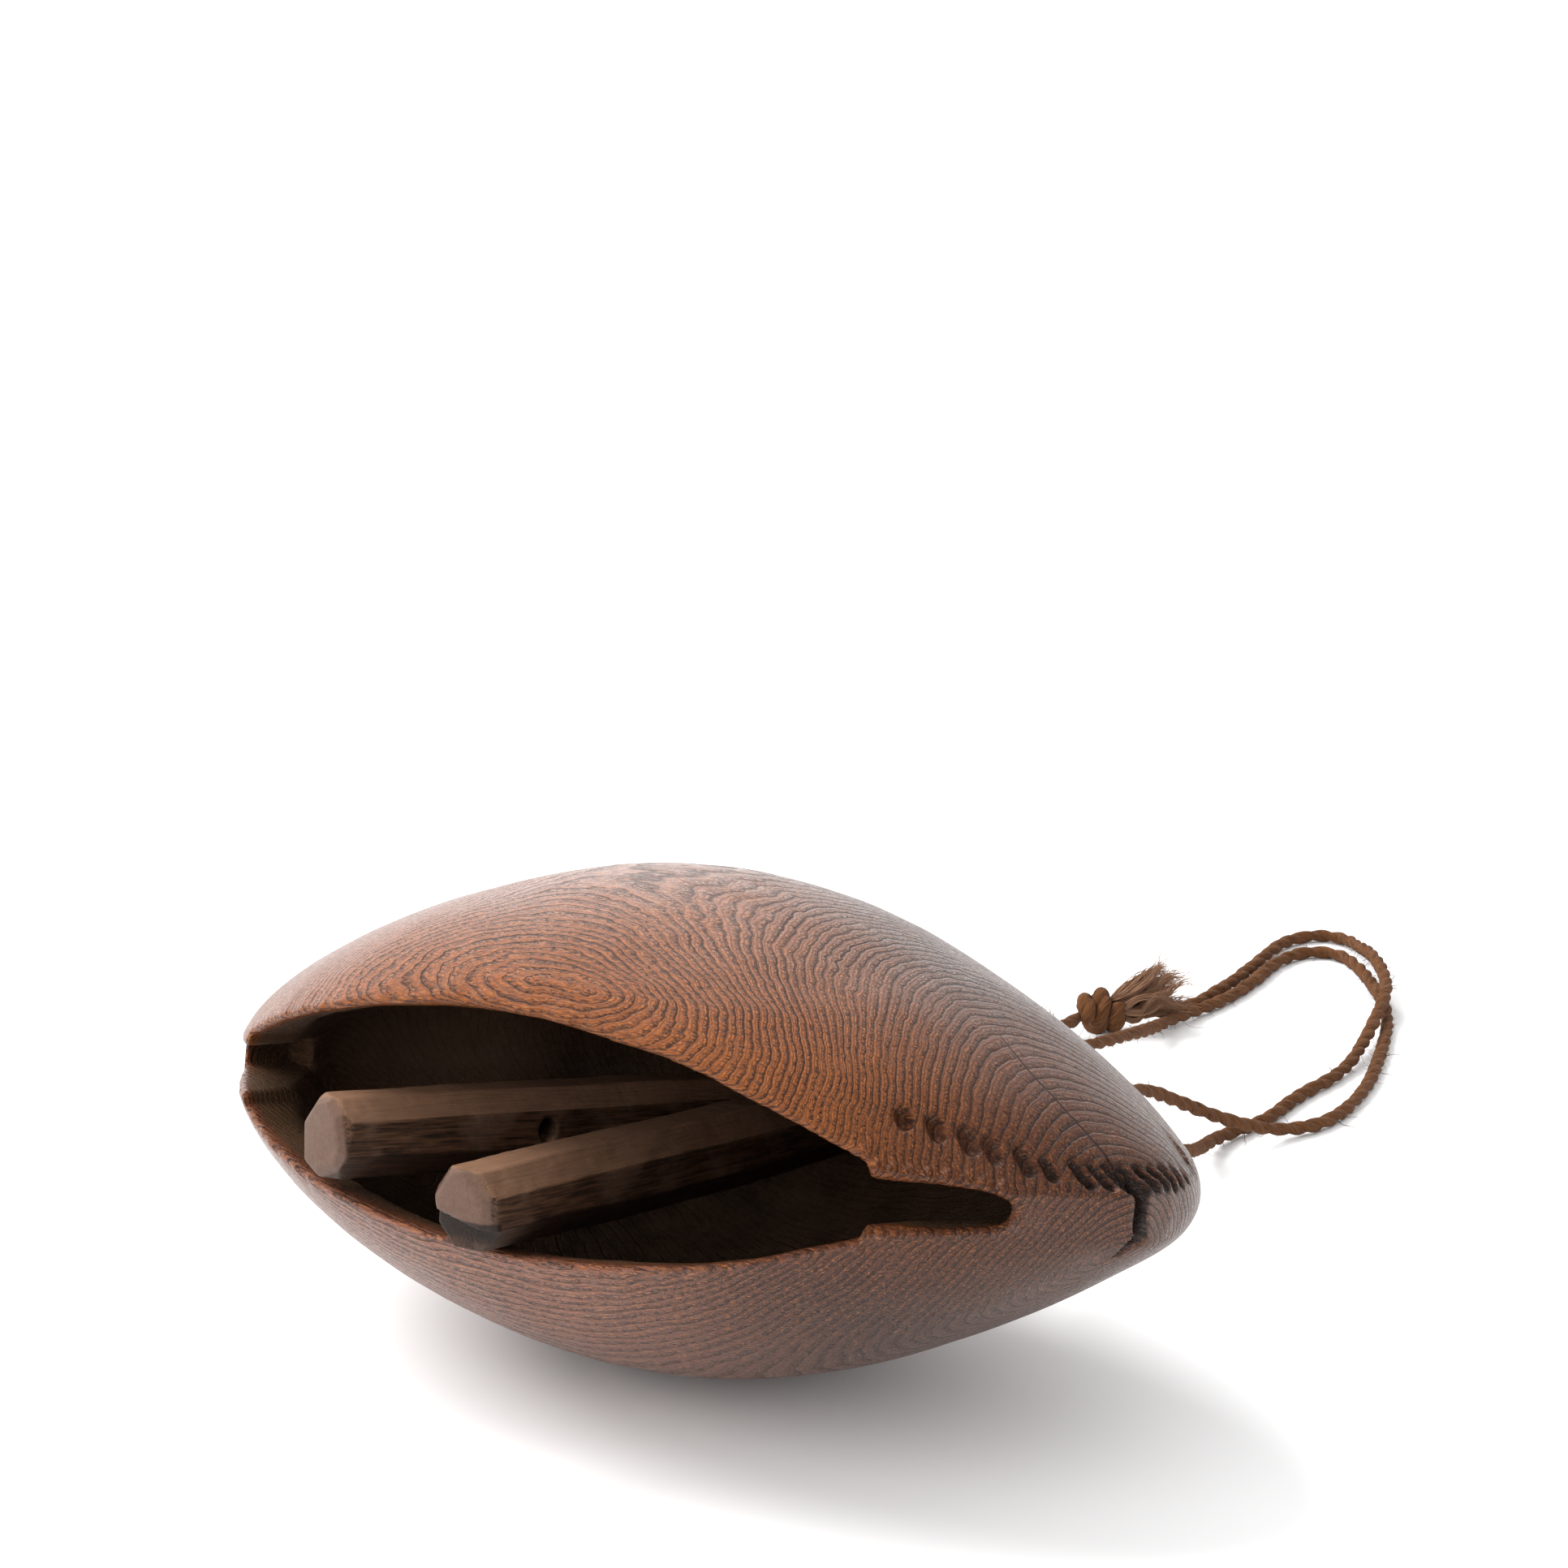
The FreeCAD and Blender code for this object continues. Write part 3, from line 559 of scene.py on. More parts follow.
# Cuts along the upper side of the near tip: x, y, z, half length, radius, lean in degrees.
NOTCHES = [
    (89.8, -40.8, 17.1, 1.0, 1.9, 10), (95.0, -36.1, 15.6, 1.5, 2.0, 12), (100.3, -31.5, 13.7, 1.9, 2.1, 15),
    (104.2, -28.0, 12.2, 2.0, 1.8, 15), (108.9, -22.5, 10.4, 2.4, 1.9, 18), (112.3, -18.1, 9.0, 2.0, 1.5, 20),
    (116.3, -11.6, 8.0, 3.0, 1.3, 28), (118.6, -7.6, 7.8, 3.4, 1.1, 32), (120.2, -3.8, 7.6, 3.6, 1.2, 34),
    (121.8, 0.0, 7.4, 3.6, 1.1, 36), (122.8, 4.2, 7.2, 3.4, 1.2, 30), (123.2, 8.4, 7.2, 3.0, 1.1, 20),
    (122.9, 12.6, 7.2, 2.8, 1.2, 10), (122.2, 17.0, 7.4, 2.4, 1.1, 0), (120.9, 21.8, 7.8, 2.2, 1.1, -8),
    (119.0, 27.0, 8.2, 2.0, 1.2, -12), (116.6, 32.0, 8.6, 1.8, 1.0, -14),
]


def lip_height(x, middle):
    """How far a lip is from the middle plane: an arc that ends in a step down to the slot."""
    rise = middle - SLOT_ROOT - CORNER_STEP
    radius = (MOUTH_HALF_WIDTH ** 2 + rise ** 2) / (2 * rise)
    arc = middle - radius + np.sqrt(np.maximum(radius ** 2 - x ** 2, 1.0))
    reach = np.clip((np.abs(x) - MOUTH_HALF_WIDTH) / (SLOT_REACH - MOUTH_HALF_WIDTH), 0.0, 1.0)
    slot = SLOT_ROOT + (SLOT_END - SLOT_ROOT) * reach
    mix = np.clip((np.abs(x) - MOUTH_HALF_WIDTH + 2.2) / 2.2, 0.0, 1.0)
    mix = mix * mix * (3 - 2 * mix)
    return arc * (1 - mix) + slot * mix


def mouth_profile(x, z):
    """Distance outside the mouth's outline, seen from the front."""
    upper = (z - lip_height(x, LIP_UPPER)) * 0.93
    lower = (-z - lip_height(x, LIP_LOWER)) * 0.93
    open_part = np.maximum(upper, lower)
    past = np.abs(x) - SLOT_REACH
    round_end = np.sqrt(np.maximum(past, 0.0) ** 2 + z ** 2) - SLOT_END
    return np.where(past > 0, round_end, open_part)


def notch_height(x):
    """How far above the middle plane the row of notches runs."""
    return NOTCH_LEVEL + 0.37 * np.maximum(116.0 - x, 0.0)


def capsule(x, y, z, start, end, radius):
    run = np.subtract(end, start)
    share = ((x - start[0]) * run[0] + (y - start[1]) * run[1] + (z - start[2]) * run[2]) / run.dot(run)
    share = np.clip(share, 0.0, 1.0)
    return np.sqrt(
        (x - start[0] - share * run[0]) ** 2
        + (y - start[1] - share * run[1]) ** 2
        + (z - start[2] - share * run[2]) ** 2
    ) - radius


def surface_directions(point):
    """The outward normal at a point on the bell, and the way up the shell from the ridge."""
    nudge = 0.05
    steps = np.eye(3) * nudge
    slope = np.array([
        bell_outside(*(np.array(point) + s)) - bell_outside(*(np.array(point) - s)) for s in steps
    ])
    normal = slope / np.linalg.norm(slope)
    up = np.array((0.0, 0.0, 1.0)) - normal * normal[2]
    return normal, up / np.linalg.norm(up)


def bell_field(axes):
    x, y, z = grid(axes)
    wide = lumps(axes, 26.0, 1)
    fine = lumps(axes, 7.0, 2)
    outside = bell_outside(x, y, z) + 0.28 * wide + 0.05 * fine
    profile = mouth_profile(x, z)
    near_tip = np.clip((x - 84.0) / 6.0, 0.0, 1.0) * (y < 0)
    ribs = 0.70 + 0.30 * np.sin(x * (2 * math.pi / 2.6) + 0.35 * z)
    rim = np.exp(-((profile - 2.0) / 1.4) ** 2)
    outside = outside - 2.5 * near_tip * rim * ribs
    band = np.clip((x - BAND_START) / BAND_FADE, 0.0, 1.0) * (y < 30.0)
    outside = outside + BAND_DEPTH * band * np.exp(-((z - notch_height(x)) / BAND_HALF_HEIGHT) ** 2)
    ridge = np.clip((x - 104.0) / 5.0, 0.0, 1.0) * np.clip((4.0 - y) / 4.0, 0.0, 1.0)
    outside = outside - 1.7 * ridge * np.exp(-((z - 3.8) / 1.4) ** 2)
    outside = soft_max(outside, np.abs(x) - TIP_END, 2.0)
    outside = outside + 0.16 * np.exp(-(profile / 5.0) ** 2) * lumps(axes, 3.6, 6)
    hollow = bell_hollow(x, y, z)
    hollow = hollow - 0.35 * np.abs(lumps(axes, 9.0, 3)) - 0.25 * np.abs(lumps(axes, 4.5, 4))
    wood = cut_away(outside, hollow, 3.0)
    front = soft_max(profile - 0.22 * lumps(axes, 12.0, 5), y + 12.0, 1.0)
    wood = cut_away(wood, front, 2.4 - 1.2 * near_tip)
    for side in (CROWN_HOLE_SIDE, -CROWN_HOLE_SIDE):
        hole = np.sqrt((x - side) ** 2 + (z - CROWN_HOLE_LEVEL) ** 2) - CROWN_HOLE_RADIUS
        wood = cut_away(wood, np.maximum(hole, CROWN_HOLE_START - y), 1.2)
    wood = cut_notches(wood, axes)
    return cut_away(wood, tip_groove(x, y, z), 0.4)


def tip_groove(x, y, z):
    """The groove worn across each tip, between the two halves of the shell."""
    width = 0.25 * (np.abs(x) - GROOVE_START)
    return np.maximum(np.abs(y - 0.3 * np.sin(z * 0.9) + 0.12 * z) - width, GROOVE_START - np.abs(x))


def notch_tools():
    """Start, end and radius of each gouge that cut a notch."""
    tools = []
    for px, py, pz, half, radius, lean in NOTCHES:
        normal, up = surface_directions((px, py, pz))
        across = np.cross(normal, up)
        way = math.cos(math.radians(lean)) * up + math.sin(math.radians(lean)) * across
        centre = np.array((px, py, pz)) + normal * (radius - NOTCH_DEPTH)
        tools.append((centre - way * half, centre + way * half, radius))
    return tools


def cut_notches(wood, axes):
    for start, end, radius in notch_tools():
        low, high = np.minimum(start, end) - 5.0, np.maximum(start, end) + 5.0
        part = tuple(slice(*np.searchsorted(axis, (low[k], high[k]))) for k, axis in enumerate(axes))
        x, y, z = grid([axis[p] for axis, p in zip(axes, part)])
        wood[part] = cut_away(wood[part], capsule(x, y, z, start, end, radius), 0.35)
    return wood


bell_axes = [
    np.concatenate([np.arange(-128.0, 82.0, BELL_STEP), np.arange(82.0, 128.0, TIP_STEP)]),
    np.arange(-74.0, 83.0, BELL_STEP),
    np.arange(-61.0, 61.5, BELL_STEP),
]
bell = wood_object("bell_wood", bell_field(bell_axes), bell_axes, BELL_TILT, BELL_ORIGIN)


# --- clappers --------------------------------------------------------------------------------------

FACETS = 8
CLAPPER_STEP = 0.5
CLAPPER_HALF_WIDTH = 9.35
HEAD_END = 8.0
REBATE_DEPTH = 3.6
REBATE_LEVEL = -2.0
ROPE_HOLE_RADIUS = 4.25
PEG_HOLE_PLACE = -66.0
PEG_HOLE_RADIUS = 2.3
NEAR_LENGTH = 124.5
FAR_LENGTH = 121.0


def clapper(name, length, pivot, slant, dip, seed, rebate, peg_hole):
    """A whittled rod. In its own frame the rope hole is at the origin and the rod runs along -Y."""
    turn = (
        BELL_TILT
        @ Matrix.Rotation(math.radians(slant), 3, "Z")
        @ Matrix.Rotation(math.radians(dip), 3, "X")
    )
    origin = BELL_ORIGIN + BELL_TILT @ Vector(pivot)
    axes = [
        np.arange(-12.0, 12.5, CLAPPER_STEP),
        np.arange(-length - 2.0, 11.0, CLAPPER_STEP),
        np.arange(-12.0, 12.5, CLAPPER_STEP),
    ]
    x, y, z = grid(axes)
    draw = random.Random(seed)
    neck = 1 - 0.2 * np.clip((y + 32.0) / 40.0, 0.0, 1.0)
    wood = None
    for facet in range(FACETS):
        angle = 2 * math.pi * facet / FACETS + draw.uniform(-0.07, 0.07)
        flat = (CLAPPER_HALF_WIDTH + draw.uniform(-0.35, 0.15)) * neck
        wave = 0.16 * np.sin(y / draw.uniform(9, 16) + draw.uniform(0, 6))
        side = x * math.cos(angle) + z * math.sin(angle) - flat - wave
        wood = side if wood is None else soft_max(wood, side, 0.15)
    wood = wood + 0.04 * lumps(axes, 2.4, seed) + 0.07 * lumps(axes, 9.0, seed + 1)
    for facet in range(FACETS):
        angle = 2 * math.pi * (facet + 0.3) / FACETS + draw.uniform(-0.2, 0.2)
        bevel = x * math.cos(angle) + z * math.sin(angle) - y
        wood = soft_max(wood, (bevel - length - 7.0 - draw.uniform(-0.9, 0.7)) * 0.71, 0.2)
    wood = soft_max(wood, -y - length + 0.004 * (x * x + z * z), 0.3)
    wood = soft_max(wood, y - HEAD_END, 1.5)
    if rebate:
        step = np.maximum(z - REBATE_LEVEL + 0.2 * x, y + length - REBATE_DEPTH)
        wood = cut_away(wood, step, 0.25)
    # the rope hole runs along the bell's X axis whatever the clapper's slant
    rope = (BELL_TILT @ Vector((1.0, 0.0, 0.0))) @ turn
    along = x * rope.x + y * rope.y + z * rope.z
    wood = cut_away(wood, np.sqrt(x ** 2 + y ** 2 + z ** 2 - along ** 2) - ROPE_HOLE_RADIUS, 0.8)
    if peg_hole:
        hole = np.sqrt((y - PEG_HOLE_PLACE) ** 2 + (z * 0.8) ** 2) - PEG_HOLE_RADIUS
        wood = cut_away(wood, np.maximum(hole, -1.0 - x), 0.6)
    return wood_object(name, wood, axes, turn, origin, rounds=0)


near_clapper = clapper("clapper_near_wood", NEAR_LENGTH, (2.0, 50.0, -3.0), -1.8, 6.1, 61, True, False)
far_clapper = clapper("clapper_far_wood", FAR_LENGTH, (-16.5, 50.0, -3.0), -16.2, 2.62, 62, False, True)


# --- materials -------------------------------------------------------------------------------------

class Nodes:
    """A short way to write a node tree."""

    def __init__(self, name, owner=None):
        self.material = owner or bpy.data.materials.new(name)
        self.material.use_nodes = True
        self.tree = self.material.node_tree
        self.shader = self.tree.nodes.get("Principled BSDF")

    def add(self, kind, **settings):
        node = self.tree.nodes.new(kind)
        for key, value in settings.items():
            setattr(node, key, value)
        return node

    def link(self, value, socket):
        if isinstance(value, bpy.types.NodeSocket):
            self.tree.links.new(value, socket)
        else:
            socket.default_value = value

    def math(self, operation, a, b=0.0, c=0.0, clamp=False):
        node = self.add("ShaderNodeMath", operation=operation, use_clamp=clamp)
        for value, socket in zip((a, b, c), node.inputs):
            self.link(value, socket)
        return node.outputs[0]

    def noise(self, vector, scale, detail=3.0, rough=0.55, distortion=0.0):
        node = self.add("ShaderNodeTexNoise")
        self.link(vector, node.inputs["Vector"])
        node.inputs["Scale"].default_value = scale
        node.inputs["Detail"].default_value = detail
        node.inputs["Roughness"].default_value = rough
        node.inputs["Distortion"].default_value = distortion
        return node.outputs["Fac"]

    def scaled(self, vector, factors):
        node = self.add("ShaderNodeVectorMath", operation="MULTIPLY")
        self.link(vector, node.inputs[0])
        node.inputs[1].default_value = factors
        return node.outputs[0]

    def shifted(self, vector, offset):
        node = self.add("ShaderNodeVectorMath", operation="ADD")
        self.link(vector, node.inputs[0])
        node.inputs[1].default_value = offset
        return node.outputs[0]

    def split(self, vector):
        node = self.add("ShaderNodeSeparateXYZ")
        self.link(vector, node.inputs[0])
        return node.outputs[0], node.outputs[1], node.outputs[2]

    def span(self, value, low, high, to_low=0.0, to_high=1.0):
        node = self.add("ShaderNodeMapRange", interpolation_type="SMOOTHSTEP")
        for item, socket in zip((value, low, high, to_low, to_high), node.inputs):
            self.link(item, socket)
        return node.outputs[0]

    def mix(self, share, a, b):
        node = self.add("ShaderNodeMix", data_type="RGBA")
        self.link(share, node.inputs[0])
        for value, socket in ((a, node.inputs[6]), (b, node.inputs[7])):
            self.link(value if isinstance(value, bpy.types.NodeSocket) else (*value, 1.0), socket)
        return node.outputs[2]

    def grain(self):
        return self.add("ShaderNodeAttribute", attribute_name="grain").outputs["Vector"]

    def mark(self, name):
        return self.add("ShaderNodeAttribute", attribute_name=name).outputs["Fac"]

    def bump(self, height, distance, strength=1.0, normal=None):
        node = self.add("ShaderNodeBump")
        node.inputs["Strength"].default_value = strength
        node.inputs["Distance"].default_value = distance
        self.link(height, node.inputs["Height"])
        if normal is not None:
            self.link(normal, node.inputs["Normal"])
        return node.outputs[0]

    def finish(self, colour, roughness, normal=None, specular=0.5, coat=0.0):
        self.link(colour, self.shader.inputs["Base Color"])
        self.link(roughness, self.shader.inputs["Roughness"])
        self.shader.inputs["Specular IOR Level"].default_value = specular
        self.shader.inputs["Coat Weight"].default_value = coat
        self.shader.inputs["Coat Roughness"].default_value = 0.22
        if normal is not None:
            self.link(normal, self.shader.inputs["Normal"])
        return self.material


RING_WIDTH = 1.9
PITH_DEPTH = 13.0
PITH_RISE = 0.03
OUTER_WOOD = 42.0
RING_CROWDING = 0.014
SWELLING_REACH = 26.0
SWELLING_SLOPE = 0.42


# Colours are linear red, green and blue.
BACK_WOOD, FRONT_WOOD = (0.082, 0.027, 0.014), (0.225, 0.060, 0.009)
# The first colour on the next line is painted shade that darkens the lower shell towards the near tip; the
# second is the lower shell's own tone.
LOWER_TIP_SHADE, LOWER_WOOD = (0.042, 0.014, 0.009), (0.215, 0.080, 0.045)
WORN_WOOD = (0.085, 0.024, 0.008)
PALE_STREAK, DARK_STREAK = (0.31, 0.108, 0.026), (0.045, 0.017, 0.009)
# The second colour on the next line is painted shade for the bottoms of the notches and the tip groove.
RING_LINE, NOTCH_SHADE = (0.016, 0.006, 0.0035), (0.010, 0.005, 0.0035)
CUT_WOOD = [(0.045, 0.022, 0.012), (0.16, 0.085, 0.042)]
# The last colour on the next line is painted light on the inside of the far end.
# The pair of colours first on the next line is the inside's own wood colour, darkened further as painted
# shade.
INNER_WOOD_AND_SHADE, FAR_END_LIGHT = [(0.018, 0.010, 0.006), (0.10, 0.055, 0.030)], (0.23, 0.13, 0.075)
CHIPPED_WOOD = [(0.035, 0.019, 0.010), (0.30, 0.175, 0.090)]


def bell_material():
    n = Nodes("bell_wood")
    place = n.grain()
    x, y, z = n.split(place)
    # growth rings round a line along X, bulging near the middle of the upper lip
    warp = n.math("SUBTRACT", n.noise(n.scaled(place, (0.4, 0.6, 0.6)), 0.03, 1.0), 0.5)
    height_of_line = n.math("MULTIPLY_ADD", x, -PITH_RISE, PITH_DEPTH)
    from_pith = n.math("SQRT", n.math(
        "ADD",
        n.math("POWER", n.math("ADD", y, 2.0), 2.0),
        n.math("POWER", n.math("ADD", z, height_of_line), 2.0),
    ))
    wave = n.math("SUBTRACT", n.noise(n.scaled(place, (0.35, 1.0, 1.0)), 0.14, 3.0), 0.5)
    # a swelling in the rings beside the upper lip, which shows as long nested ovals
    swelling = n.add("ShaderNodeVectorMath", operation="LENGTH")
    n.link(n.scaled(n.shifted(place, (-8.0, 55.0, -34.0)), (0.22, 1.0, 1.0)), swelling.inputs[0])
    fade = n.math("EXPONENT", n.math("MULTIPLY", swelling.outputs["Value"], -1.0 / SWELLING_REACH))
    from_pith = n.math("MULTIPLY_ADD", fade, SWELLING_REACH * SWELLING_SLOPE, from_pith)
    radius = n.math("MULTIPLY_ADD", warp, 5.0, from_pith)
    radius = n.math("MULTIPLY_ADD", wave, 1.7, radius)
    outer = n.math("MAXIMUM", n.math("SUBTRACT", radius, OUTER_WOOD), 0.0)
    crowding = n.math("MULTIPLY", n.math("MULTIPLY", outer, outer), RING_CROWDING)
    ring = n.math("ADD", n.math("DIVIDE", radius, RING_WIDTH), crowding)
    phase = n.math("FRACT", ring)
    line = n.math("ADD", n.span(phase, 0.0, 0.26, 1.0, 0.0), n.span(phase, 0.92, 1.0, 0.0, 1.0), clamp=True)
    plain = n.math("MULTIPLY", n.span(z, -25.0, 0.0, 1.0, 0.0), n.span(x, -30.0, 60.0, 0.0, 0.45))
    line = n.math("MULTIPLY", line, n.math("SUBTRACT", 1.0, plain))
    line = n.math("MULTIPLY", line, n.span(n.noise(place, 0.07, 2.0), 0.32, 0.55, 0.4, 1.0))
    thin = n.span(n.math("FRACT", n.math("MULTIPLY", ring, 2.7)), 0.0, 0.45, 0.42, 0.0)
    number = n.add("ShaderNodeTexWhiteNoise", noise_dimensions="1D")
    n.link(n.math("FLOOR", ring), number.inputs["W"])
    line = n.math("MULTIPLY", line, n.math("MULTIPLY_ADD", number.outputs["Value"], 0.4, 0.6))
    streaks = n.noise(n.scaled(place, (0.22, 1.3, 1.3)), 1.5, 4.0, 0.6)
    pores = n.span(n.noise(n.scaled(place, (0.4, 1.3, 1.3)), 1.7, 2.0, 0.6), 0.48, 0.59)
    early = n.span(phase, 0.0, 0.75, 1.0, 0.15)
    dark = n.math("MULTIPLY", line, n.span(streaks, 0.20, 0.48, 0.35, 1.0), clamp=True)
    dark = n.math("MAXIMUM", dark, n.math("MULTIPLY", pores, early))
    dark = n.math("MAXIMUM", dark, n.math("MULTIPLY", thin, n.span(streaks, 0.35, 0.6)))
    # the long crack that runs from the shoulder to the groove in the near tip
    crack_line = n.math("MULTIPLY_ADD", n.math("POWER", n.math("SUBTRACT", x, 104.0), 2.0), 0.0085, -4.4)
    off_crack = n.math("ABSOLUTE", n.math("SUBTRACT", n.math("MULTIPLY_ADD", wave, 1.6, y), crack_line))
    crack = n.math("MULTIPLY", n.span(off_crack, 0.12, 0.42, 1.0, 0.0), n.span(x, 78.0, 90.0))
    dark = n.math("MAXIMUM", dark, n.math("MULTIPLY", crack, n.span(z, 2.0, 4.0)))
    tone = n.noise(place, 0.02, 3.0)
    front = n.span(n.math("ADD", n.math("MULTIPLY", y, -1.0), n.math("MULTIPLY", z, 0.7)), 5.0, 75.0)
    front = n.math("ADD", front, n.math("MULTIPLY", n.math("SUBTRACT", tone, 0.5), 0.7), clamp=True)
    base = n.mix(front, BACK_WOOD, FRONT_WOOD)
    # painted shade: the lower shell darkened towards the near tip
    lower_tip_shade = n.math("MULTIPLY", n.span(z, -20.0, 5.0, 0.8, 0.0), n.span(x, -40.0, 70.0))
    base = n.mix(lower_tip_shade, base, LOWER_TIP_SHADE)
    lower = n.math("MULTIPLY", n.span(z, -15.0, 5.0, 1.0, 0.0), n.span(x, 10.0, 85.0, 0.85, 0.0))
    base = n.mix(lower, base, LOWER_WOOD)
    worn = n.math("MULTIPLY", n.span(x, 70.0, 108.0), n.span(z, 30.0, 14.0))
    base = n.mix(n.math("MULTIPLY", worn, 0.6), base, WORN_WOOD)
    base = n.mix(n.span(streaks, 0.50, 0.70, 0.0, 0.75), base, PALE_STREAK)
    base = n.mix(n.span(streaks, 0.30, 0.50, 0.8, 0.0), base, DARK_STREAK)
    wood = n.mix(n.math("MULTIPLY", dark, 0.93), base, RING_LINE)
    wood = n.mix(n.mark("cut"), wood, n.mix(streaks, *CUT_WOOD))
    # painted shade: the notches and the tip groove darker towards their bottoms
    notch_shade = n.math("MULTIPLY", n.mark("notch_shade"), n.span(x, 104.0, 118.0, 0.6, 0.92))
    wood = n.mix(notch_shade, wood, NOTCH_SHADE)
    hollow = n.mark("hollow")
    # inside: its own wood colour, darkened further as painted shade
    inner = n.mix(n.noise(place, 0.10, 4.0), *INNER_WOOD_AND_SHADE)
    # painted light: the inside lighter towards the far end
    inner = n.mix(n.span(x, -96.0, -78.0, 0.7, 0.0), inner, FAR_END_LIGHT)
    chipped = n.math("MULTIPLY", n.span(x, -62.0, -50.0), n.span(x, 4.0, -8.0))
    chipped_wall = n.math("MULTIPLY", n.span(y, -30.0, -42.0), n.span(z, -10.0, -16.0))
    chipped = n.math("MULTIPLY", chipped, chipped_wall)
    chips = n.span(n.noise(n.scaled(place, (1.0, 0.5, 1.0)), 0.35, 2.0), 0.42, 0.60)
    chips = n.mix(chips, *CHIPPED_WOOD)
    inner = n.mix(chipped, inner, chips)
    wood = n.mix(hollow, wood, inner)
    height = n.math("SUBTRACT", n.math("MULTIPLY", streaks, 0.25), dark)
    normal = n.bump(height, 0.0007, 0.9)
    rough = n.math("ADD", n.math("MULTIPLY", dark, 0.25), n.span(tone, 0.3, 0.7, 0.22, 0.36))
    rough = n.math("ADD", rough, n.math("MULTIPLY", hollow, 0.4), clamp=True)
    return n.finish(wood, rough, normal, specular=0.35, coat=0.14)


def clapper_material(name, length, rebate):
    n = Nodes(name)
    place = n.grain()
    lines = n.noise(n.scaled(place, (1.0, 0.05, 1.0)), 1.6, 5.0, 0.65)
    blotch = n.noise(place, 0.09, 4.0, 0.6)
    cuts = n.noise(n.scaled(place, (0.6, 1.0, 0.6)), 0.5, 3.0)
    colour = n.mix(n.span(lines, 0.30, 0.70), (0.008, 0.004, 0.0025), (0.100, 0.046, 0.023))
    colour = n.mix(n.span(blotch, 0.45, 0.75, 0.0, 0.6), colour, (0.13, 0.078, 0.054))
    # painted light and shade: facets that face up in the world are lighter, facets that face down are darker
    upward = n.split(n.add("ShaderNodeNewGeometry").outputs["True Normal"])[2]
    colour = n.mix(n.span(upward, 0.45, 0.85, 0.0, 0.55), colour, (0.30, 0.165, 0.100))
    colour = n.mix(n.span(upward, -0.7, 0.3, 0.7, 0.0), colour, (0.012, 0.006, 0.004))
    _, y, z = n.split(place)
    end = n.span(y, 1.2 - length, 2.0 - length, 1.0, 0.0)
    weathered = n.mix(n.noise(place, 0.8, 5.0, 0.7), (0.070, 0.036, 0.024), (0.165, 0.100, 0.074))
    colour = n.mix(n.math("MULTIPLY", end, 0.85), colour, weathered)
    if rebate:
        # painted shadow: the recessed lower part of the near clapper's end face is darkened under the step
        # above it, less towards its bottom
        low = n.math("MULTIPLY", n.span(z, -2.2, -1.4, 1.0, 0.0), n.span(y, -120.7, -120.2, 1.0, 0.0))
        low = n.math("MULTIPLY", low, n.span(z, -8.5, -5.5, 0.3, 1.0))
        colour = n.mix(n.math("MULTIPLY", low, 0.9), colour, (0.010, 0.005, 0.003))
    height = n.math("ADD", lines, n.math("MULTIPLY", cuts, 0.6))
    normal = n.bump(height, 0.00035, 0.8)
    return n.finish(colour, n.span(blotch, 0.2, 0.8, 0.62, 0.5), normal, specular=0.25)


def rope_material(name, dark, mid, pale):
    n = Nodes(name)
    place = n.grain()
    fibre = n.noise(n.scaled(place, (2.2, 0.30, 1.0)), 1.6, 4.0, 0.65)
    patch = n.noise(n.scaled(place, (0.0, 1.0, 1.0)), 0.08, 3.0)
    colour = n.mix(n.span(fibre, 0.30, 0.55), dark, mid)
    colour = n.mix(n.math("MULTIPLY", n.span(fibre, 0.55, 0.75), n.span(patch, 0.3, 0.7)), colour, pale)
    normal = n.bump(fibre, 0.00035, 0.9)
    material = n.finish(colour, 0.85, normal, specular=0.1)
    n.shader.inputs["Sheen Weight"].default_value = 0.05
    return material


rope_look = rope_material("rope_fibre", (0.030, 0.012, 0.006), (0.130, 0.052, 0.019), (0.27, 0.125, 0.054))
fray_look = rope_material("frayed_fibre", (0.100, 0.045, 0.024), (0.42, 0.23, 0.135), (0.78, 0.56, 0.43))
bell_look = bell_material()
near_clapper_look = clapper_material("clapper_wood_near", NEAR_LENGTH, True)
far_clapper_look = clapper_material("clapper_wood_far", FAR_LENGTH, False)


def mark_bell():
    """Marks the bell's inside, its cut edges, and its notches and tip groove; the material shows each
    differently and paints shade into the notches and the groove.
    """
    data = bell.data
    place = np.empty(len(data.vertices) * 3, dtype=np.float32)
    data.attributes["grain"].data.foreach_get("vector", place)
    x, y, z = place.reshape(-1, 3).T
    depth = -bell_outside(x, y, z)
    sunk = BAND_DEPTH * np.clip((x - BAND_START) / BAND_FADE, 0.0, 1.0)
    sunk = sunk * np.exp(-((z - notch_height(x)) / BAND_HALF_HEIGHT) ** 2)
    to_cut = tip_groove(x, y, z)
    for start, end, radius in notch_tools():
        to_cut = np.minimum(to_cut, capsule(x, y, z, start, end, radius))
    # how much painted shade the notches and tip groove get: short of x = 104 mm by nearness to the cut,
    # beyond it by depth below the surface
    shallow = 0.85 * np.clip((0.45 - to_cut) / 0.45, 0.0, 1.0)
    deep = np.clip((depth - sunk - 0.15) / 0.9, 0.0, 1.0) * (to_cut < 0.45)
    masks = {
        "hollow": np.clip((2.0 - bell_hollow(x, y, z)) / 2.0, 0.0, 1.0) * (depth > 3.0),
        "cut": np.clip((depth - 3.2) / 1.5, 0.0, 1.0) * (np.abs(x) < 110.0),
        "notch_shade": np.where(x < 104.0, shallow, deep),
    }
    for name, mask in masks.items():
        layer = data.attributes.new(name, "FLOAT", "POINT")
        layer.data.foreach_set("value", mask.astype(np.float32))


mark_bell()

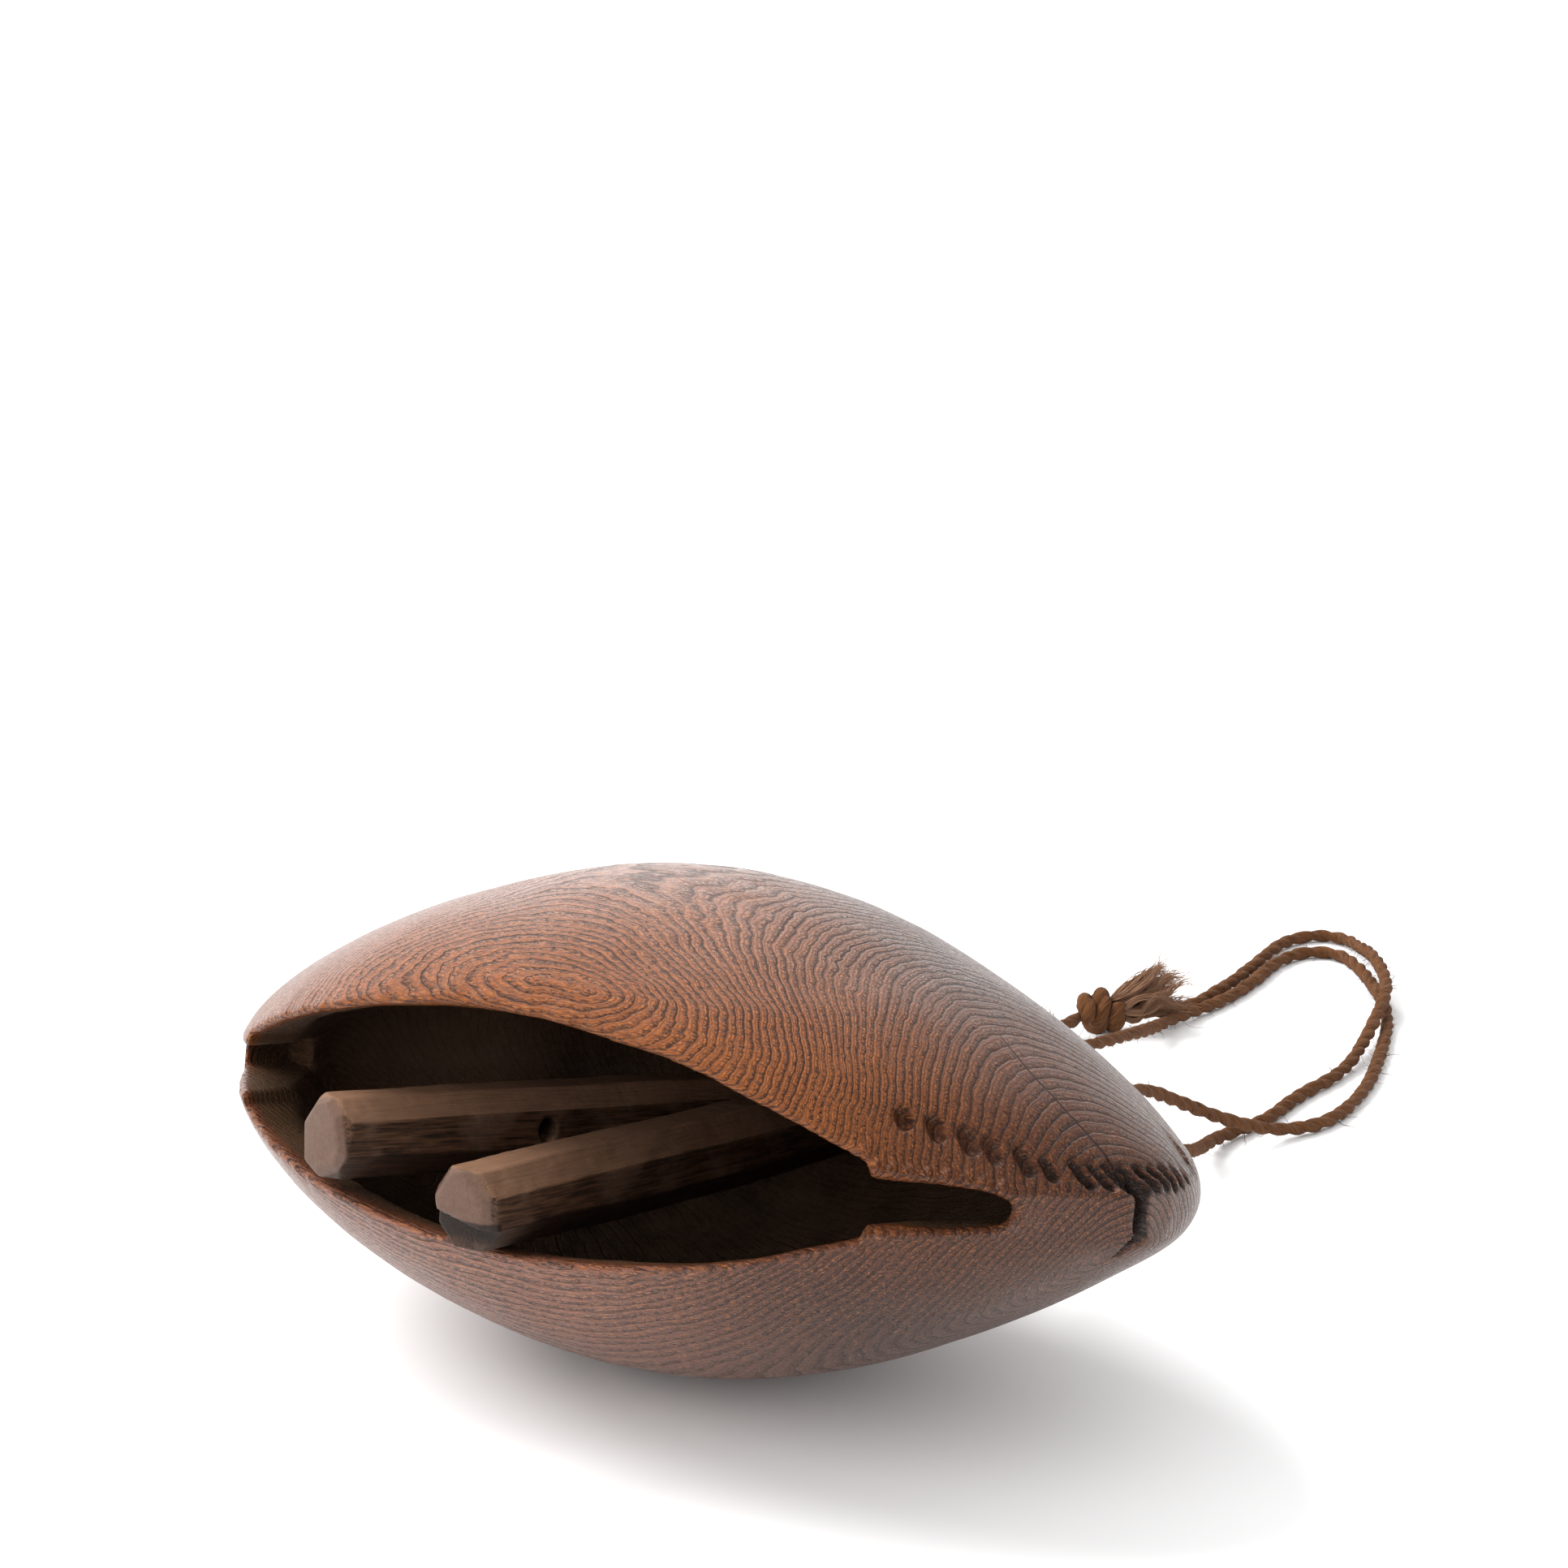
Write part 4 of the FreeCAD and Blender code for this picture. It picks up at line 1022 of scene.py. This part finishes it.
for piece in (outer_rope, inner_rope, tail_rope, upper_rope, lower_rope, fuzz, wraps):
    piece.data.materials.append(rope_look)
for piece in (tassel_fibres, tuft_fibres):
    piece.data.materials.append(fray_look)
bell.data.materials.append(bell_look)
near_clapper.data.materials.append(near_clapper_look)
far_clapper.data.materials.append(far_clapper_look)


# --- what each piece stands for --------------------------------------------------------------------

def stand_for(piece, body, slot, *nodes):
    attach(piece, body)
    if nodes:
        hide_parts(*nodes)


stand_for(bell, "bell", "bell_wood", "bell_body")
stand_for(near_clapper, "near_clapper", "clapper_wood", "clapper_near")
stand_for(far_clapper, "far_clapper", "clapper_wood", "clapper_far")
stand_for(outer_rope, "bell", "rope_fibre", "rope_turn_outer")
stand_for(inner_rope, "bell", "rope_fibre", "rope_turn_inner")
stand_for(tail_rope, "bell", "rope_fibre", "rope_tail")
stand_for(upper_rope, "bell", "rope_fibre", "rope_crossing_upper")
stand_for(lower_rope, "bell", "rope_fibre", "rope_crossing_lower")
stand_for(wraps, "bell", "rope_fibre", "rope_knot")
stand_for(tassel_fibres, "bell", "frayed_fibre", "rope_tassel")
stand_for(tuft_fibres, "bell", "frayed_fibre", "rope_tuft")
stand_for(fuzz, "bell", "rope_fibre")


# --- floor and light -------------------------------------------------------------------------------

def make_floor():
    half = 6.0
    floor = mesh_object(
        "floor", [(-half, -half, 0), (half, -half, 0), (half, half, 0), (-half, half, 0)], [(0, 1, 2, 3)]
    )
    n = Nodes("floor_white")
    n.finish((0.86, 0.86, 0.86, 1.0), 0.9, specular=0.1)
    floor.data.materials.append(n.material)


def sun_light(name, place, target, spread, power):
    data = bpy.data.lights.new(name, "SUN")
    data.angle = math.radians(spread)
    data.energy = power
    light = new_object(name, data)
    light.visible_glossy = False
    light.rotation_euler = (Vector(target) - Vector(place)).to_track_quat("-Z", "Y").to_euler()


SKY_STRENGTH = 1.12
BRIGHT_WAY = (-0.80, 0.55, 0.22)
WINDOW_WAY = (-0.32, 0.48, 0.82)


def make_light():
    world = bpy.data.worlds.new("studio")
    world.use_nodes = True
    n = Nodes("studio_sky", world)
    # reflections see a bright area behind the bell, a window above it, and dark on the camera's side;
    # diffuse light is even
    facing = n.add("ShaderNodeVectorMath", operation="DOT_PRODUCT")
    n.link(n.add("ShaderNodeTexCoord").outputs["Generated"], facing.inputs[0])
    facing.inputs[1].default_value = BRIGHT_WAY
    shine = n.span(facing.outputs["Value"], 0.45, 1.0, 0.10, 2.3)
    window = n.add("ShaderNodeVectorMath", operation="DOT_PRODUCT")
    n.link(n.add("ShaderNodeTexCoord").outputs["Generated"], window.inputs[0])
    window.inputs[1].default_value = WINDOW_WAY
    shine = n.math("ADD", shine, n.span(window.outputs["Value"], 0.86, 0.97, 0.0, 1.3))
    polished = n.add("ShaderNodeLightPath").outputs["Is Glossy Ray"]
    strength = n.math("MULTIPLY_ADD", polished, n.math("SUBTRACT", shine, SKY_STRENGTH), SKY_STRENGTH)
    n.link(strength, world.node_tree.nodes["Background"].inputs["Strength"])
    world.node_tree.nodes["Background"].inputs["Color"].default_value = (1.0, 1.0, 1.0, 1.0)
    bpy.context.scene.world = world
    middle = (0.0, 0.0, 0.05)
    sun_light("key", (-0.95, -0.08, 0.95), middle, 42, 4.0)
    sun_light("front", (-0.15, -1.0, 0.55), middle, 60, 1.3)


make_floor()
make_light()
bpy.context.scene.view_settings.view_transform = "Standard"
